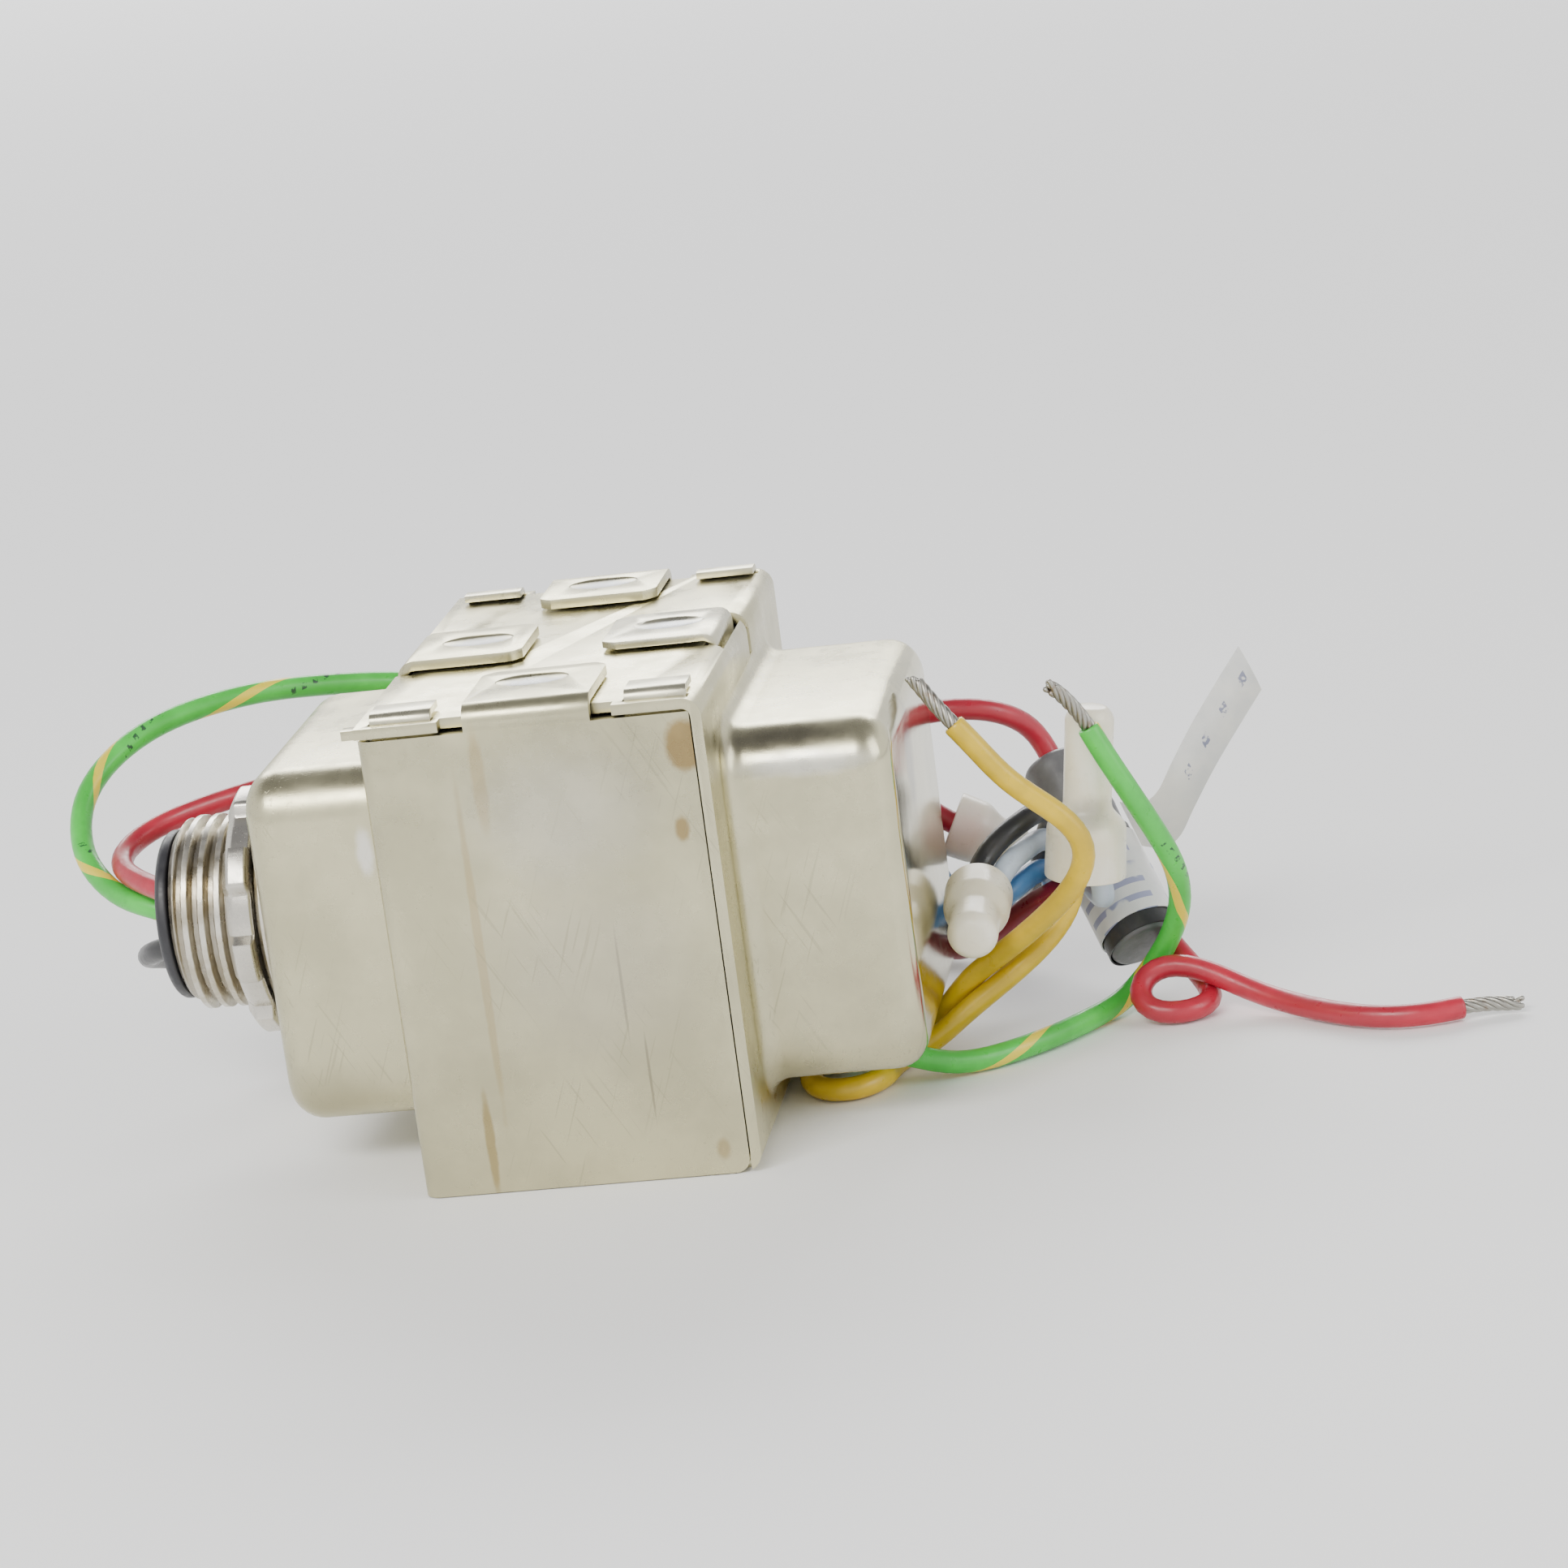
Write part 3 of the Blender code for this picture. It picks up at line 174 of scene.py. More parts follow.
YELLOW_B_ROUTE = (
    (24.5, 19.3, 22.9), (24.5, 23, 22.9), (24.1, 25.6, 21.8), (23, 27.4, 18.5), (21.5, 27.9, 13.5),
    (20.4, 27.3, 8), (20.1, 25, 3.6), (20.1, 20.5, 1.4), (20.1, 12, 1.27), (20.1, 3, 1.27),
    (20.1, -4.5, 1.27), (21.3, -8.3, 1.27), (24.4, -9.9, 1.27), (27.5, -8.3, 1.27), (28.8, -4.6, 1.27),
    (29.2, -0.8, 1.27), (30.8, 1.6, 1.27), (33.3, 2.5, 2.1), (35.8, 3.3, 4.1), (38.5, 4.2, 5.8),
    (42, 5.6, 7.9), (45.7, 6.8, 10.5), (48.2, 8.2, 12.8), (49.5, 9.9, 15.1), (50, 10.5, 17),
    (50, 10.7, 19.2),
)
MAROON_ROUTE = (
    (50, 13.4, 19.2), (50, 13.6, 16.4), (49.2, 14.4, 14.9), (47.4, 15.3, 14.3), (45.4, 16, 13.5),
    (43.2, 16.7, 12.1), (40.6, 17.6, 9.9), (37.4, 19, 7.9), (34.5, 20.8, 6.6), (31.9, 22.9, 7),
    (30.2, 24.5, 9.8), (29.3, 25.3, 14), (29, 24.8, 17.8), (28.9, 22.9, 19.7), (28.9, 19.3, 19.7),
)
BLUE_ROUTE = (
    (38.1, 6.6, 15.7), (38.8, 9.8, 14.9), (41, 10.9, 14.5), (43.3, 12.3, 16.1), (45.3, 15, 17),
    (46.4, 18.8, 15.6), (46.2, 22.2, 12.6), (44.8, 25, 10.2), (41.5, 26.2, 9), (38, 25.7, 9),
    (35.2, 25.1, 10.8), (33.2, 25, 14), (32, 24.8, 17.4), (31.4, 24.9, 20), (30.4, 24.4, 22.2),
    (29.9, 22.9, 22.9), (29.9, 19.3, 22.9),
)
PALE_BLUE_ROUTE = (
    (40.8, 6.6, 16.15), (40.9, 8.8, 16.5), (41.6, 10.3, 17.7), (42.8, 11.6, 19), (44.2, 13.8, 19.5),
    (45.8, 17.3, 19.7), (47.6, 19.3, 18.6), (49.5, 18.8, 15.9), (51.2, 16.7, 13.6), (52.4, 14, 13.2),
    (52.4, 12.3, 15.6), (52.4, 12, 20.2),
)
RED_STUB_ROUTE = (
    (27.2, 3.6, 24.85), (27.2, 9, 24.85), (27.2, 14.4, 24.85), (27.2, 19.3, 24.85), (27.2, 23, 24.85),
    (28.3, 26, 24.6), (30.6, 27.6, 23.4), (33.2, 27.3, 21.2), (36, 27, 19.4),
)
FLAG_LINE = (
    (55.2, 26.6, 18.0), (57.6, 26.2, 17.6), (59.6, 26.0, 18.8), (61.3, 26.3, 21.6), (64.2, 27.6, 26.0),
    (67.3, 28.9, 30.1), (70.2, 30.0, 33.8),
)
CONNECTORS = {  # rim centre, closed end, skirt radius, skirt length, barrel radius
    "front": ((39.35, 8.0, 16.7), (39.45, -4.5, 15.2), 3.75, 4.6, 2.75),
    "upright": ((50.8, 12.0, 16.6), (53.5, 12.0, 35.7), 4.5, 6.0, 2.7),
    "rear": ((35.1, 27.0, 19.9), (43.0, 27.0, 16.0), 3.7, 3.4, 2.6),
}


# ---------------------------------------------------------------- camera and light

def camera():
    yaw, pitch, roll = (math.radians(a) for a in (CAMERA_YAW, CAMERA_PITCH, CAMERA_ROLL))
    forward = Vector((-math.sin(yaw) * math.cos(pitch), math.cos(yaw) * math.cos(pitch), -math.sin(pitch)))
    level = Vector((math.cos(yaw), math.sin(yaw), 0))
    upright = level.cross(forward)
    right = math.cos(roll) * level + math.sin(roll) * upright
    up = -math.sin(roll) * level + math.cos(roll) * upright
    data = bpy.data.cameras.new("camera")
    data.lens = CAMERA_LENS
    data.sensor_width = CAMERA_SENSOR
    data.clip_start = CAMERA_NEAR
    obj = bpy.data.objects.new("camera", data)
    turn = Matrix((right, up, -forward)).transposed().to_4x4()
    obj.matrix_world = Matrix.Translation(CAMERA_AT) @ turn
    bpy.context.scene.collection.objects.link(obj)
    bpy.context.scene.camera = obj


def light():
    """A light tent: bright low down and behind, dim overhead, with one soft box high in front."""
    world = bpy.data.worlds.new("studio")
    world.use_nodes = True
    tree = world.node_tree
    back = tree.nodes["Background"]
    back.inputs["Strength"].default_value = WORLD_LIGHT
    way = tree.nodes.new("ShaderNodeTexCoord")
    parts = tree.nodes.new("ShaderNodeSeparateXYZ")
    tree.links.new(way.outputs["Generated"], parts.inputs[0])
    ramp = tree.nodes.new("ShaderNodeValToRGB")
    tree.links.new(parts.outputs["Z"], ramp.inputs["Fac"])
    for element, (position, colour) in zip(ramp.color_ramp.elements, WORLD_RAMP):
        element.position, element.color = position, colour
    tree.links.new(ramp.outputs["Color"], back.inputs["Color"])
    bpy.context.scene.world = world
    for name, (at, size, watts, colour) in LIGHTS.items():
        data = bpy.data.lights.new(name, "AREA")
        data.shape = "RECTANGLE"
        data.size, data.size_y = size
        data.energy = watts
        data.color = colour
        obj = bpy.data.objects.new(name, data)
        obj.location = at
        obj.rotation_euler = (Vector(at) - Vector(LIT_POINT)).to_track_quat("Z", "Y").to_euler()
        bpy.context.scene.collection.objects.link(obj)


# ---------------------------------------------------------------- materials

class Paint:
    """A Principled material with small helpers for its patterns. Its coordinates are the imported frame's."""

    def __init__(self, name, **sockets):
        self.mat = bpy.data.materials.new(name)
        self.mat.use_nodes = True
        self.tree = self.mat.node_tree
        self.bsdf = self.tree.nodes["Principled BSDF"]
        for socket, value in sockets.items():
            self.set(socket.replace("_", " "), value)
        coords = self.node("ShaderNodeTexCoord")
        self.where, self.map = coords.outputs["Object"], coords.outputs["UV"]

    def node(self, kind, **attributes):
        made = self.tree.nodes.new(kind)
        for key, value in attributes.items():
            setattr(made, key, value)
        return made

    def feed(self, node, socket, value):
        """Links another node's output to a socket, or sets a number, vector or colour on it."""
        target = node.inputs[socket]
        if isinstance(value, bpy.types.NodeSocket):
            self.tree.links.new(value, target)
        else:
            target.default_value = (*value, 1) if target.type == "RGBA" else value

    def set(self, socket, value):
        self.feed(self.bsdf, socket, value)

    def math(self, operation, *values):
        made = self.node("ShaderNodeMath", operation=operation)
        for index, value in enumerate(values):
            self.feed(made, index, value)
        return made.outputs[0]

    def product(self, first, *others):
        for other in others:
            first = self.math("MULTIPLY", first, other)
        return first

    def vector(self, operation, *values):
        made = self.node("ShaderNodeVectorMath", operation=operation)
        for index, value in enumerate(values):
            self.feed(made, index, value)
        return made.outputs["Value" if operation in ("LENGTH", "DOT_PRODUCT") else "Vector"]

    def axis(self, letter, where=None):
        made = self.node("ShaderNodeSeparateXYZ")
        self.feed(made, 0, where or self.where)
        return made.outputs[letter]

    def noise(self, per_mm, detail=4.0, roughness=0.55, stretch=(1, 1, 1), where=None):
        """Noise with this many features to the millimetre, drawn out along an axis by a small stretch."""
        spot = self.vector("MULTIPLY", where or self.where, tuple(s / MM for s in stretch))
        made = self.node("ShaderNodeTexNoise")
        for socket, value in (("Vector", spot), ("Scale", per_mm), ("Detail", detail), ("Roughness", roughness)):
            self.feed(made, socket, value)
        return made.outputs["Fac"]

    def spread(self, value, low, high, to_low=0.0, to_high=1.0):
        """Maps low..high of a value smoothly onto another range."""
        made = self.node("ShaderNodeMapRange", interpolation_type="SMOOTHSTEP")
        for socket, number in zip(("Value", "From Min", "From Max", "To Min", "To Max"),
                                  (value, low, high, to_low, to_high)):
            self.feed(made, socket, number)
        return made.outputs["Result"]

    def veil(self, noise, low=0.3, high=0.7, to_low=0.0, to_high=1.0):
        """Noise of this scale, detail and roughness, spread from low..high of it onto another range."""
        return self.spread(self.noise(*noise), low, high, to_low, to_high)

    def mix(self, share, a, b):
        made = self.node("ShaderNodeMix", data_type="RGBA")
        for index, value in ((0, share), (6, a), (7, b)):
            self.feed(made, index, value)
        return made.outputs[2]

    def dashes(self, value, pitch, share):
        """1 over this first share of each pitch, 0 over the rest."""
        return self.math("LESS_THAN", self.math("FRACT", self.math("DIVIDE", value, pitch)), share)

    def rough(self, per_mm, low, high, detail=4.0):
        self.set("Roughness", self.veil((per_mm, detail), to_low=low, to_high=high))

    def bump(self, height, depth_mm, strength=1.0):
        """Raises the surface by this height; one bump is laid on the one before it."""
        made = self.node("ShaderNodeBump")
        for socket, value in (("Strength", strength), ("Distance", depth_mm * MM), ("Height", height)):
            self.feed(made, socket, value)
        before = self.bsdf.inputs["Normal"]
        if before.is_linked:
            self.tree.links.new(before.links[0].from_socket, made.inputs["Normal"])
        self.tree.links.new(made.outputs["Normal"], before)

    def patch(self, centre, reach, soft, ragged=0.35):
        """1 inside a ragged ellipsoid about a point given from the case's middle, 0 outside it."""
        away = self.vector("SUBTRACT", self.where, tuple(row_point(centre)))
        away = self.vector("DIVIDE", away, tuple(r * MM for r in reach))
        edge = self.math("MULTIPLY_ADD", self.noise(0.45, 5.0, 0.65), ragged * 2, -ragged)
        length = self.math("ADD", self.vector("LENGTH", away), edge)
        return self.spread(length, 1 - soft, 1 + soft, 1.0, 0.0)

    def stain_and_painted_light(self, colour, centre, reach, shade, amount, soft):
        """A ragged patch of another shade over a colour: real stains, and also painted shade, shadow, reflection and
        highlight.
        """
        return self.mix(self.product(self.patch(centre, reach, soft), amount), colour, shade)


def row_point(p):
    return ORIGIN @ Vector(p)


def times(colour, factor):
    return tuple(min(1.0, c * factor) for c in colour)


def plated_steel(name, tone, marks=(), gloss=0.24, polished=None):
    """Satin zinc plate, a little yellowed: cloudy tone, fine drawn lines, pits, and where marks say, stains and
    painted shade, reflections and highlights.
    """
    paint = Paint(name, Metallic=1.0)
    colour = paint.mix(paint.veil((0.09, 5.0, 0.6), 0.35, 0.68), times(tone, 0.9), times(tone, 1.07))
    colour = paint.mix(paint.veil((1.6, 3.0, 0.7), 0.66, 0.8, 0.0, 0.45), colour, times(tone, 0.55))
    rough = paint.veil((0.22, 5.0, 0.65), 0.3, 0.72, gloss, gloss + 0.13)
    for mark in marks:
        colour = paint.stain_and_painted_light(colour, *mark)
    if polished:
        rough = paint.product(rough, paint.spread(paint.patch(*polished, 0.15, 0.05), 0, 1, 1.0, 0.4))
    paint.set("Roughness", rough)
    worn = paint.veil((0.06, 3.0), 0.45, 0.6)
    for lean in (0.5, -0.35):
        turned = paint.node("ShaderNodeVectorRotate", rotation_type="Y_AXIS")
        paint.feed(turned, "Vector", paint.where)
        paint.feed(turned, "Angle", lean)
        fine = paint.noise(3.2, 1.0, 0.5, (1, 1, 0.03), turned.outputs[0])
        scratch = paint.product(paint.spread(fine, 0.66, 0.7), worn)
        colour = paint.mix(paint.product(scratch, 0.35), colour, times(tone, 0.6))
        paint.bump(scratch, 0.02, 0.4)
    paint.set("Base Color", colour)
    paint.bump(paint.noise(0.07, 2.0), 0.25, 0.3)
    paint.bump(paint.noise(9.0, 2.0, 0.5, (0.12, 1, 1)), 0.008, 0.5)
    return paint.mat


def dimple_reflection(place, top):
    """A painted darker reflection of the sky in a dimple."""
    return (*place, top), (3.3, 2.1, 1.2), (0.2, 0.22, 0.28), 0.75, 0.35


# Marks on the plate, stains and painted shade, reflections and highlights: centre and reach in millimetres, shade,
# amount and softness
AMBER, OLIVE, HAZE, DRIP = (0.33, 0.22, 0.08), (0.36, 0.33, 0.2), (0.72, 0.7, 0.66), (0.24, 0.21, 0.15)
FRONT_MARKS = (
    ((15.9, -30.2, 45.9), (2.0, 3, 2.7), AMBER, 0.85, 0.2),
    ((14.5, -30.2, 37.3), (0.8, 3, 1.3), AMBER, 0.8, 0.3),
    ((14.2, -30.2, 2.8), (0.7, 3, 1.1), AMBER, 0.5, 0.4),
    ((-5.7, -30.2, 44), (0.75, 3, 5.4), (0.5, 0.4, 0.2), 0.6, 0.3),
    ((-8.2, -30.2, 26), (0.45, 3, 17), (0.46, 0.37, 0.19), 0.55, 0.3),
    ((-10.1, -30.2, 5.4), (0.5, 3, 5.2), (0.36, 0.27, 0.11), 0.75, 0.3),
    ((2.0, -30.2, 40), (8, 3, 6), HAZE, 0.3, 0.7),
    ((6.0, -30.2, 21), (0.16, 3, 5.5), DRIP, 0.6, 0.4),
    ((7.6, -30.2, 11.5), (0.14, 3, 4.5), DRIP, 0.6, 0.4),
    ((3.0, -30.2, 24), (9, 3, 9), (0.5, 0.47, 0.4), 0.35, 0.7),
)
LEFT_MARKS = (
    ((-20.9, -21.5, 35.5), (0.9, 2, 2.4), (0.85, 0.83, 0.76), 0.8, 0.4),
    ((-28, -21.5, 9), (6, 3, 3), OLIVE, 0.4, 0.6),
    # painted darker reflections in the three tab dimples
    *(dimple_reflection(place, TAB_TOP - 0.3) for place in LEFT_DIMPLES),
)
RIGHT_MARKS = (
    # painted reflection: a dark band along the right bell's top front edge, where it faces the dark overhead
    ((24, -21, 43.2), (7, 3.5, 1.2), (0.2, 0.18, 0.14), 0.7, 0.5),
    ((35.2, -4, 36), (2, 3, 5), (0.18, 0.17, 0.16), 0.6, 0.6),
    # painted highlight: a bright band just below that edge
    ((27, -21.2, 40.6), (6, 2.5, 1.2), (0.9, 0.89, 0.84), 0.55, 0.5),
    ((22, -21, 8), (4, 3, 3), OLIVE, 0.45, 0.6),
)
# painted darker reflection in the clip's dimple
CLIP_DIMPLE_REFLECTION = (dimple_reflection(CLIP_DIMPLE, 51.7),)
BELL_FACE = (BELL_RIGHT, 0, HUB_Z), (2.2, 30, 30)


def hub_plating():
    """Bright plate worn to bronze low in the thread, and darker at its roots."""
    paint = Paint("hub_plating", Metallic=1.0)
    colour = paint.mix(paint.veil((0.16, 5.0, 0.65), 0.36, 0.62), (0.52, 0.47, 0.36), (0.74, 0.71, 0.63))
    radial = paint.vector("SUBTRACT", paint.where, (0, 0, HUB_Z * MM))
    radius = paint.vector("LENGTH", paint.vector("MULTIPLY", radial, (0, 1 / MM, 1 / MM)))
    root = paint.spread(radius, THREAD_ROOT + 0.1, THREAD_ROOT + 0.55, 0.6, 0.0)
    paint.set("Base Color", paint.mix(root, colour, (0.2, 0.165, 0.11)))
    paint.rough(0.5, 0.24, 0.42)
    paint.bump(paint.noise(3.0, 3.0, 0.6), 0.03, 0.4)
    return paint.mat


def moulded(name, colour, rough=0.42):
    """Moulded plastic or rubber: faint cloudiness, a fine skin, and dust that catches the light."""
    paint = Paint(name)
    lighter = tuple(min(1.0, c * 1.25 + 0.012) for c in colour)
    paint.set("Base Color", paint.mix(paint.veil((0.3,)), colour, lighter))
    paint.rough(1.5, rough - 0.07, rough + 0.09)
    paint.bump(paint.noise(3.0, 3.0), 0.02, 0.5)
    return paint.mat


def lead_jacket(name, colour, stripe=None):
    """Extruded jacket. A striped one also has rows of short broken dashes, in place of its printing.

    The map runs once round the lead (U) and in metres along it (V).
    """
    paint = Paint(name, Coat_Weight=0.15, Coat_Roughness=0.25)
    tone = paint.mix(paint.veil((0.12, 4.0, 0.6), 0.34, 0.68), times(colour, 0.72), colour)
    if stripe:
        around = paint.math("FRACT", paint.axis("X", paint.map))
        reach = paint.axis("Y", paint.map)
        tone = paint.mix(paint.math("COMPARE", around, 0.3, 0.07), tone, stripe)
        row = paint.math("COMPARE", around, 0.62, 0.05)
        broken = paint.veil((2.2, 2.0), 0.42, 0.52, 0.0, 0.9)
        ink = paint.product(paint.dashes(reach, 0.021, 0.34), paint.dashes(reach, 0.0013, 0.45), row, broken)
        tone = paint.mix(ink, tone, (0.02, 0.03, 0.03))
    grime = paint.veil((0.35, 6.0, 0.7), 0.6, 0.78, 0.0, 0.35)
    paint.set("Base Color", paint.mix(grime, tone, times(colour, 0.35)))
    paint.rough(0.8, 0.27, 0.45)
    paint.bump(paint.noise(0.5, 2.0), 0.12, 0.35)
    paint.bump(paint.noise(5.0, 2.0), 0.01, 0.5)
    return paint.mat


def tinned_copper():
    """Tinned strands, bare copper showing where the tin has worn."""
    paint = Paint("tinned_copper", Metallic=1.0)
    paint.set("Base Color", paint.mix(paint.veil((0.8,), 0.5, 0.72), (0.4, 0.39, 0.35), (0.3, 0.23, 0.17)))
    paint.rough(2.0, 0.3, 0.5, 3.0)
    paint.bump(paint.noise(4.0, 3.0), 0.02, 0.5)
    return paint.mat


def milky_nylon():
    """Milky moulded nylon, yellowed a little, with soft flow marks, and painted in, what shows dimly through its
    wall: a shadow of the crimp sleeve and the pink of the red lead inside.
    """
    paint = Paint("milky_nylon", IOR=1.5, Coat_Weight=0.3, Coat_Roughness=0.18)
    colour = paint.mix(paint.veil((0.25, 4.0, 0.6, (1, 0.4, 0.6))), (0.86, 0.8, 0.62), (0.93, 0.9, 0.78))
    for shade in NYLON_SHADES:
        colour = paint.stain_and_painted_light(colour, *shade)
    paint.set("Base Color", colour)
    paint.rough(0.9, 0.26, 0.4)
    paint.bump(paint.noise(0.5, 2.0), 0.02, 0.15)
    return paint.mat


NYLON_SHADES = (
    # painted shadow of the crimp sleeve, as seen through the upright connector's wall
    ((52.4, 8, 24.3), (2.4, 3.5, 1.6), (0.3, 0.29, 0.26), 0.6, 0.6),
    ((54.6, 7.6, 23.4), (0.28, 1.5, 0.28), (0.1, 0.09, 0.08), 0.9, 0.2),
    # painted pink of the red lead inside the rear connector's skirt
    ((36.6, 24, 19.4), (3.2, 4, 2.6), (0.85, 0.52, 0.52), 0.6, 0.7),
)


def inked_film(paint, ink, shade, dull, white):
    """White label film with plain marks where ink says."""
    paint.set("Base Color", paint.mix(ink, paint.mix(paint.veil((0.2,)), dull, white), shade))
    paint.rough(1.0, 0.3, 0.45, 3.0)
    paint.bump(paint.noise(0.4, 3.0), 0.08, 0.4)
    return paint.mat


def wrap_film():
    """Blue-violet bars laid out along and across the capsule."""
    paint = Paint("label_print", Coat_Weight=0.25, Coat_Roughness=0.2)
    along = (CAPSULE_B - CAPSULE_A).normalized()
    across = (Vector((0, 1, 0)) - along * along.y).normalized()
    away = paint.vector("SUBTRACT", paint.where, tuple(row_point(CAPSULE_A)))
    run, side = (paint.vector("DOT_PRODUCT", away, tuple(way / MM)) for way in (along, across))
    patchy = paint.veil((0.3, 2.0), 0.44, 0.5)
    ink = paint.product(paint.dashes(run, 2.1, 0.36), paint.dashes(side, 5.3, 0.52), patchy, 0.75)
    return inked_film(paint, ink, (0.2, 0.22, 0.45), (0.68, 0.69, 0.7), (0.8, 0.8, 0.78))


def tail_film():
    """Four small broken marks down the tail's middle: the map is -1..1 across (U) and in metres along (V)."""
    paint = Paint("tail_film", Coat_Weight=0.25, Coat_Roughness=0.2)
    run = paint.math("DIVIDE", paint.axis("Y", paint.map), 0.004)
    mark = paint.math("COMPARE", paint.math("FRACT", run), 0.5, 0.14)
    row = paint.math("COMPARE", paint.axis("X", paint.map), -0.1, 0.2)
    broken = paint.veil((1.6, 2.0), 0.44, 0.54, 0.0, 0.8)
    ink = paint.product(mark, row, paint.math("GREATER_THAN", run, 2.0), broken)
    return inked_film(paint, ink, (0.2, 0.22, 0.36), (0.7, 0.71, 0.7), (0.82, 0.81, 0.77))


def striped(name, dark, light, pitch, letter, metallic, rough):
    """Stacked plates or wound turns: lines a pitch apart along an axis."""
    paint = Paint(name, Metallic=metallic)
    turn = paint.math("FRACT", paint.math("DIVIDE", paint.axis(letter), pitch * MM))
    ridge = paint.math("ABSOLUTE", paint.math("SUBTRACT", turn, 0.5))
    colour = paint.mix(paint.spread(ridge, 0.25, 0.5), light, dark)
    paint.set("Base Color", paint.mix(paint.veil((0.4,), 0.35, 0.7, 0.0, 0.5), colour, dark))
    paint.rough(1.5, rough - 0.06, rough + 0.1, 3.0)
    paint.bump(paint.spread(ridge, 0.2, 0.5, 1.0, 0.0), pitch * 0.3, 0.7)
    return paint.mat


# ---------------------------------------------------------------- mesh helpers

def publish(name, bm, mat, nodes=(), body="unit", crease=32):
    """Makes a piece of a mesh drawn in case millimetres: sharp edges marked, riding its body, standing for nodes."""
    limit = math.radians(crease)
    for face in bm.faces:
        face.smooth = True
    for edge in bm.edges:
        edge.smooth = len(edge.link_faces) == 2 and edge.calc_face_angle(0) < limit
    bm.transform(ORIGIN)
    mesh = bpy.data.meshes.new(name)
    bm.to_mesh(mesh)
    bm.free()
    mesh.materials.append(mat)
    obj = bpy.data.objects.new(name, mesh)
    bpy.context.scene.collection.objects.link(obj)
    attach(obj, body)
    if nodes:
        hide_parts(*nodes)
    return obj


def smooth(share):
    """A share, held to 0..1, eased at both ends."""
    share = min(1.0, max(0.0, share))
    return share * share * (3 - 2 * share)


def filleted(corners, radius):
    """A path in a plane with an arc of this radius at each inner corner."""
    path = [Vector(corners[0])]
    for before, corner, after in zip(corners, corners[1:], corners[2:]):
        corner = Vector(corner)
        into = (Vector(before) - corner).normalized()
        out = (Vector(after) - corner).normalized()
        half = into.angle(out) / 2
        centre = corner + (into + out).normalized() * radius / math.sin(half)
        start = corner + into * radius / math.tan(half) - centre
        end = corner + out * radius / math.tan(half) - centre
        turn = math.pi - 2 * half
        for i in range(ARC_STEPS + 1):
            share = i / ARC_STEPS
            weight = math.sin(turn * (1 - share)), math.sin(turn * share)
            path.append(centre + (start * weight[0] + end * weight[1]) / math.sin(turn))
    return path + [Vector(corners[-1])]


def softened(profile, radius, steps=3):
    """A closed or open profile whose corners are rounded as far as their sides allow."""
    closed = profile[0][0] > 0
    points = [Vector(p) for p in profile]
    made = []
    for i, corner in enumerate(points):
        if not closed and i in (0, len(points) - 1):
            made.append(corner)
            continue
        before, after = points[i - 1], points[(i + 1) % len(points)]
        into, out = before - corner, after - corner
        cut = min(radius, 0.42 * into.length, 0.42 * out.length)
        if into.angle(out) > math.radians(172):
            made.append(corner)
            continue
        start, end = corner + into.normalized() * cut, corner + out.normalized() * cut
        for step in range(steps + 1):
            t = step / steps
            made.append((1 - t) ** 2 * start + 2 * t * (1 - t) * corner + t * t * end)
    return made


def lathe(bm, profile, steps, centre, along, shape=None):
    """A turned body added to bm. A closed profile has its bore; shape(radius, height, angle) may move a point."""
    closed = profile[0][0] > 0
    turn = Vector(along).to_track_quat("Z", "Y").to_matrix()
    centre = Vector(centre)
    rings = []
    for radius, height in profile:
        if radius < 1e-6:
            rings.append([bm.verts.new(centre + turn @ Vector((0, 0, height)))])
            continue
        ring = []
        for i in range(steps):
            angle = 2 * math.pi * i / steps
            r, h = shape(radius, height, angle) if shape else (radius, height)
            ring.append(bm.verts.new(centre + turn @ Vector((r * math.cos(angle), r * math.sin(angle), h))))
        rings.append(ring)
    if closed:
        rings.append(rings[0])
    for near, far in zip(rings, rings[1:]):
        for i in range(steps):
            j = (i + 1) % steps
            quad = [near[i % len(near)], near[j % len(near)], far[j % len(far)], far[i % len(far)]]
            bm.faces.new(list(dict.fromkeys(quad)))
    bmesh.ops.recalc_face_normals(bm, faces=bm.faces)
    return bm


def smooth_route(points, step, relax):
    """Evenly spaced points on the smooth curve through a route's own points, relaxed this many times."""
    knots = [Vector(p) for p in points]
    ends = [2 * knots[0] - knots[1]] + knots + [2 * knots[-1] - knots[-2]]
    fine = []
    for a, b, c, d in zip(ends, ends[1:], ends[2:], ends[3:]):
        for t in (i / 16 for i in range(16)):
            fine.append(0.5 * (2 * b + (c - a) * t + (2 * a - 5 * b + 4 * c - d) * t ** 2
                               + (3 * b - a - 3 * c + d) * t ** 3))
    fine.append(knots[-1])
    run = [0.0]
    for p, q in zip(fine, fine[1:]):
        run.append(run[-1] + (q - p).length)
    count = max(2, round(run[-1] / step))
    route, at = [], 0
    for i in range(count + 1):
        goal = run[-1] * i / count
        while at < len(run) - 2 and run[at + 1] < goal:
            at += 1
        share = (goal - run[at]) / (run[at + 1] - run[at])
        route.append(fine[at].lerp(fine[at + 1], min(1.0, share)))
    for _ in range(relax):
        route = ([route[0]] + [(p + 2 * q + r) / 4 for p, q, r in zip(route, route[1:], route[2:])]
                 + [route[-1]])
    return route


def frames(points):
    """A direction and two cross directions at each point, turning as little as they can."""
    steps = [(q - p).normalized() for p, q in zip(points, points[1:])]
    ways = [steps[0]] + [(a + b).normalized() for a, b in zip(steps, steps[1:])] + [steps[-1]]
    side = ways[0].orthogonal().normalized()
    made = []
    for way in ways:
        side = (side - way * side.dot(way)).normalized()
        made.append((way, side, way.cross(side)))
    return made


def between(steps, at):
    """The value at a place along a row of (place, value) steps, on the straight line between the two next to it."""
    for (low, first), (high, second) in zip(steps, steps[1:]):
        if at <= high:
            break
    return first + (second - first) * (at - low) / (high - low)


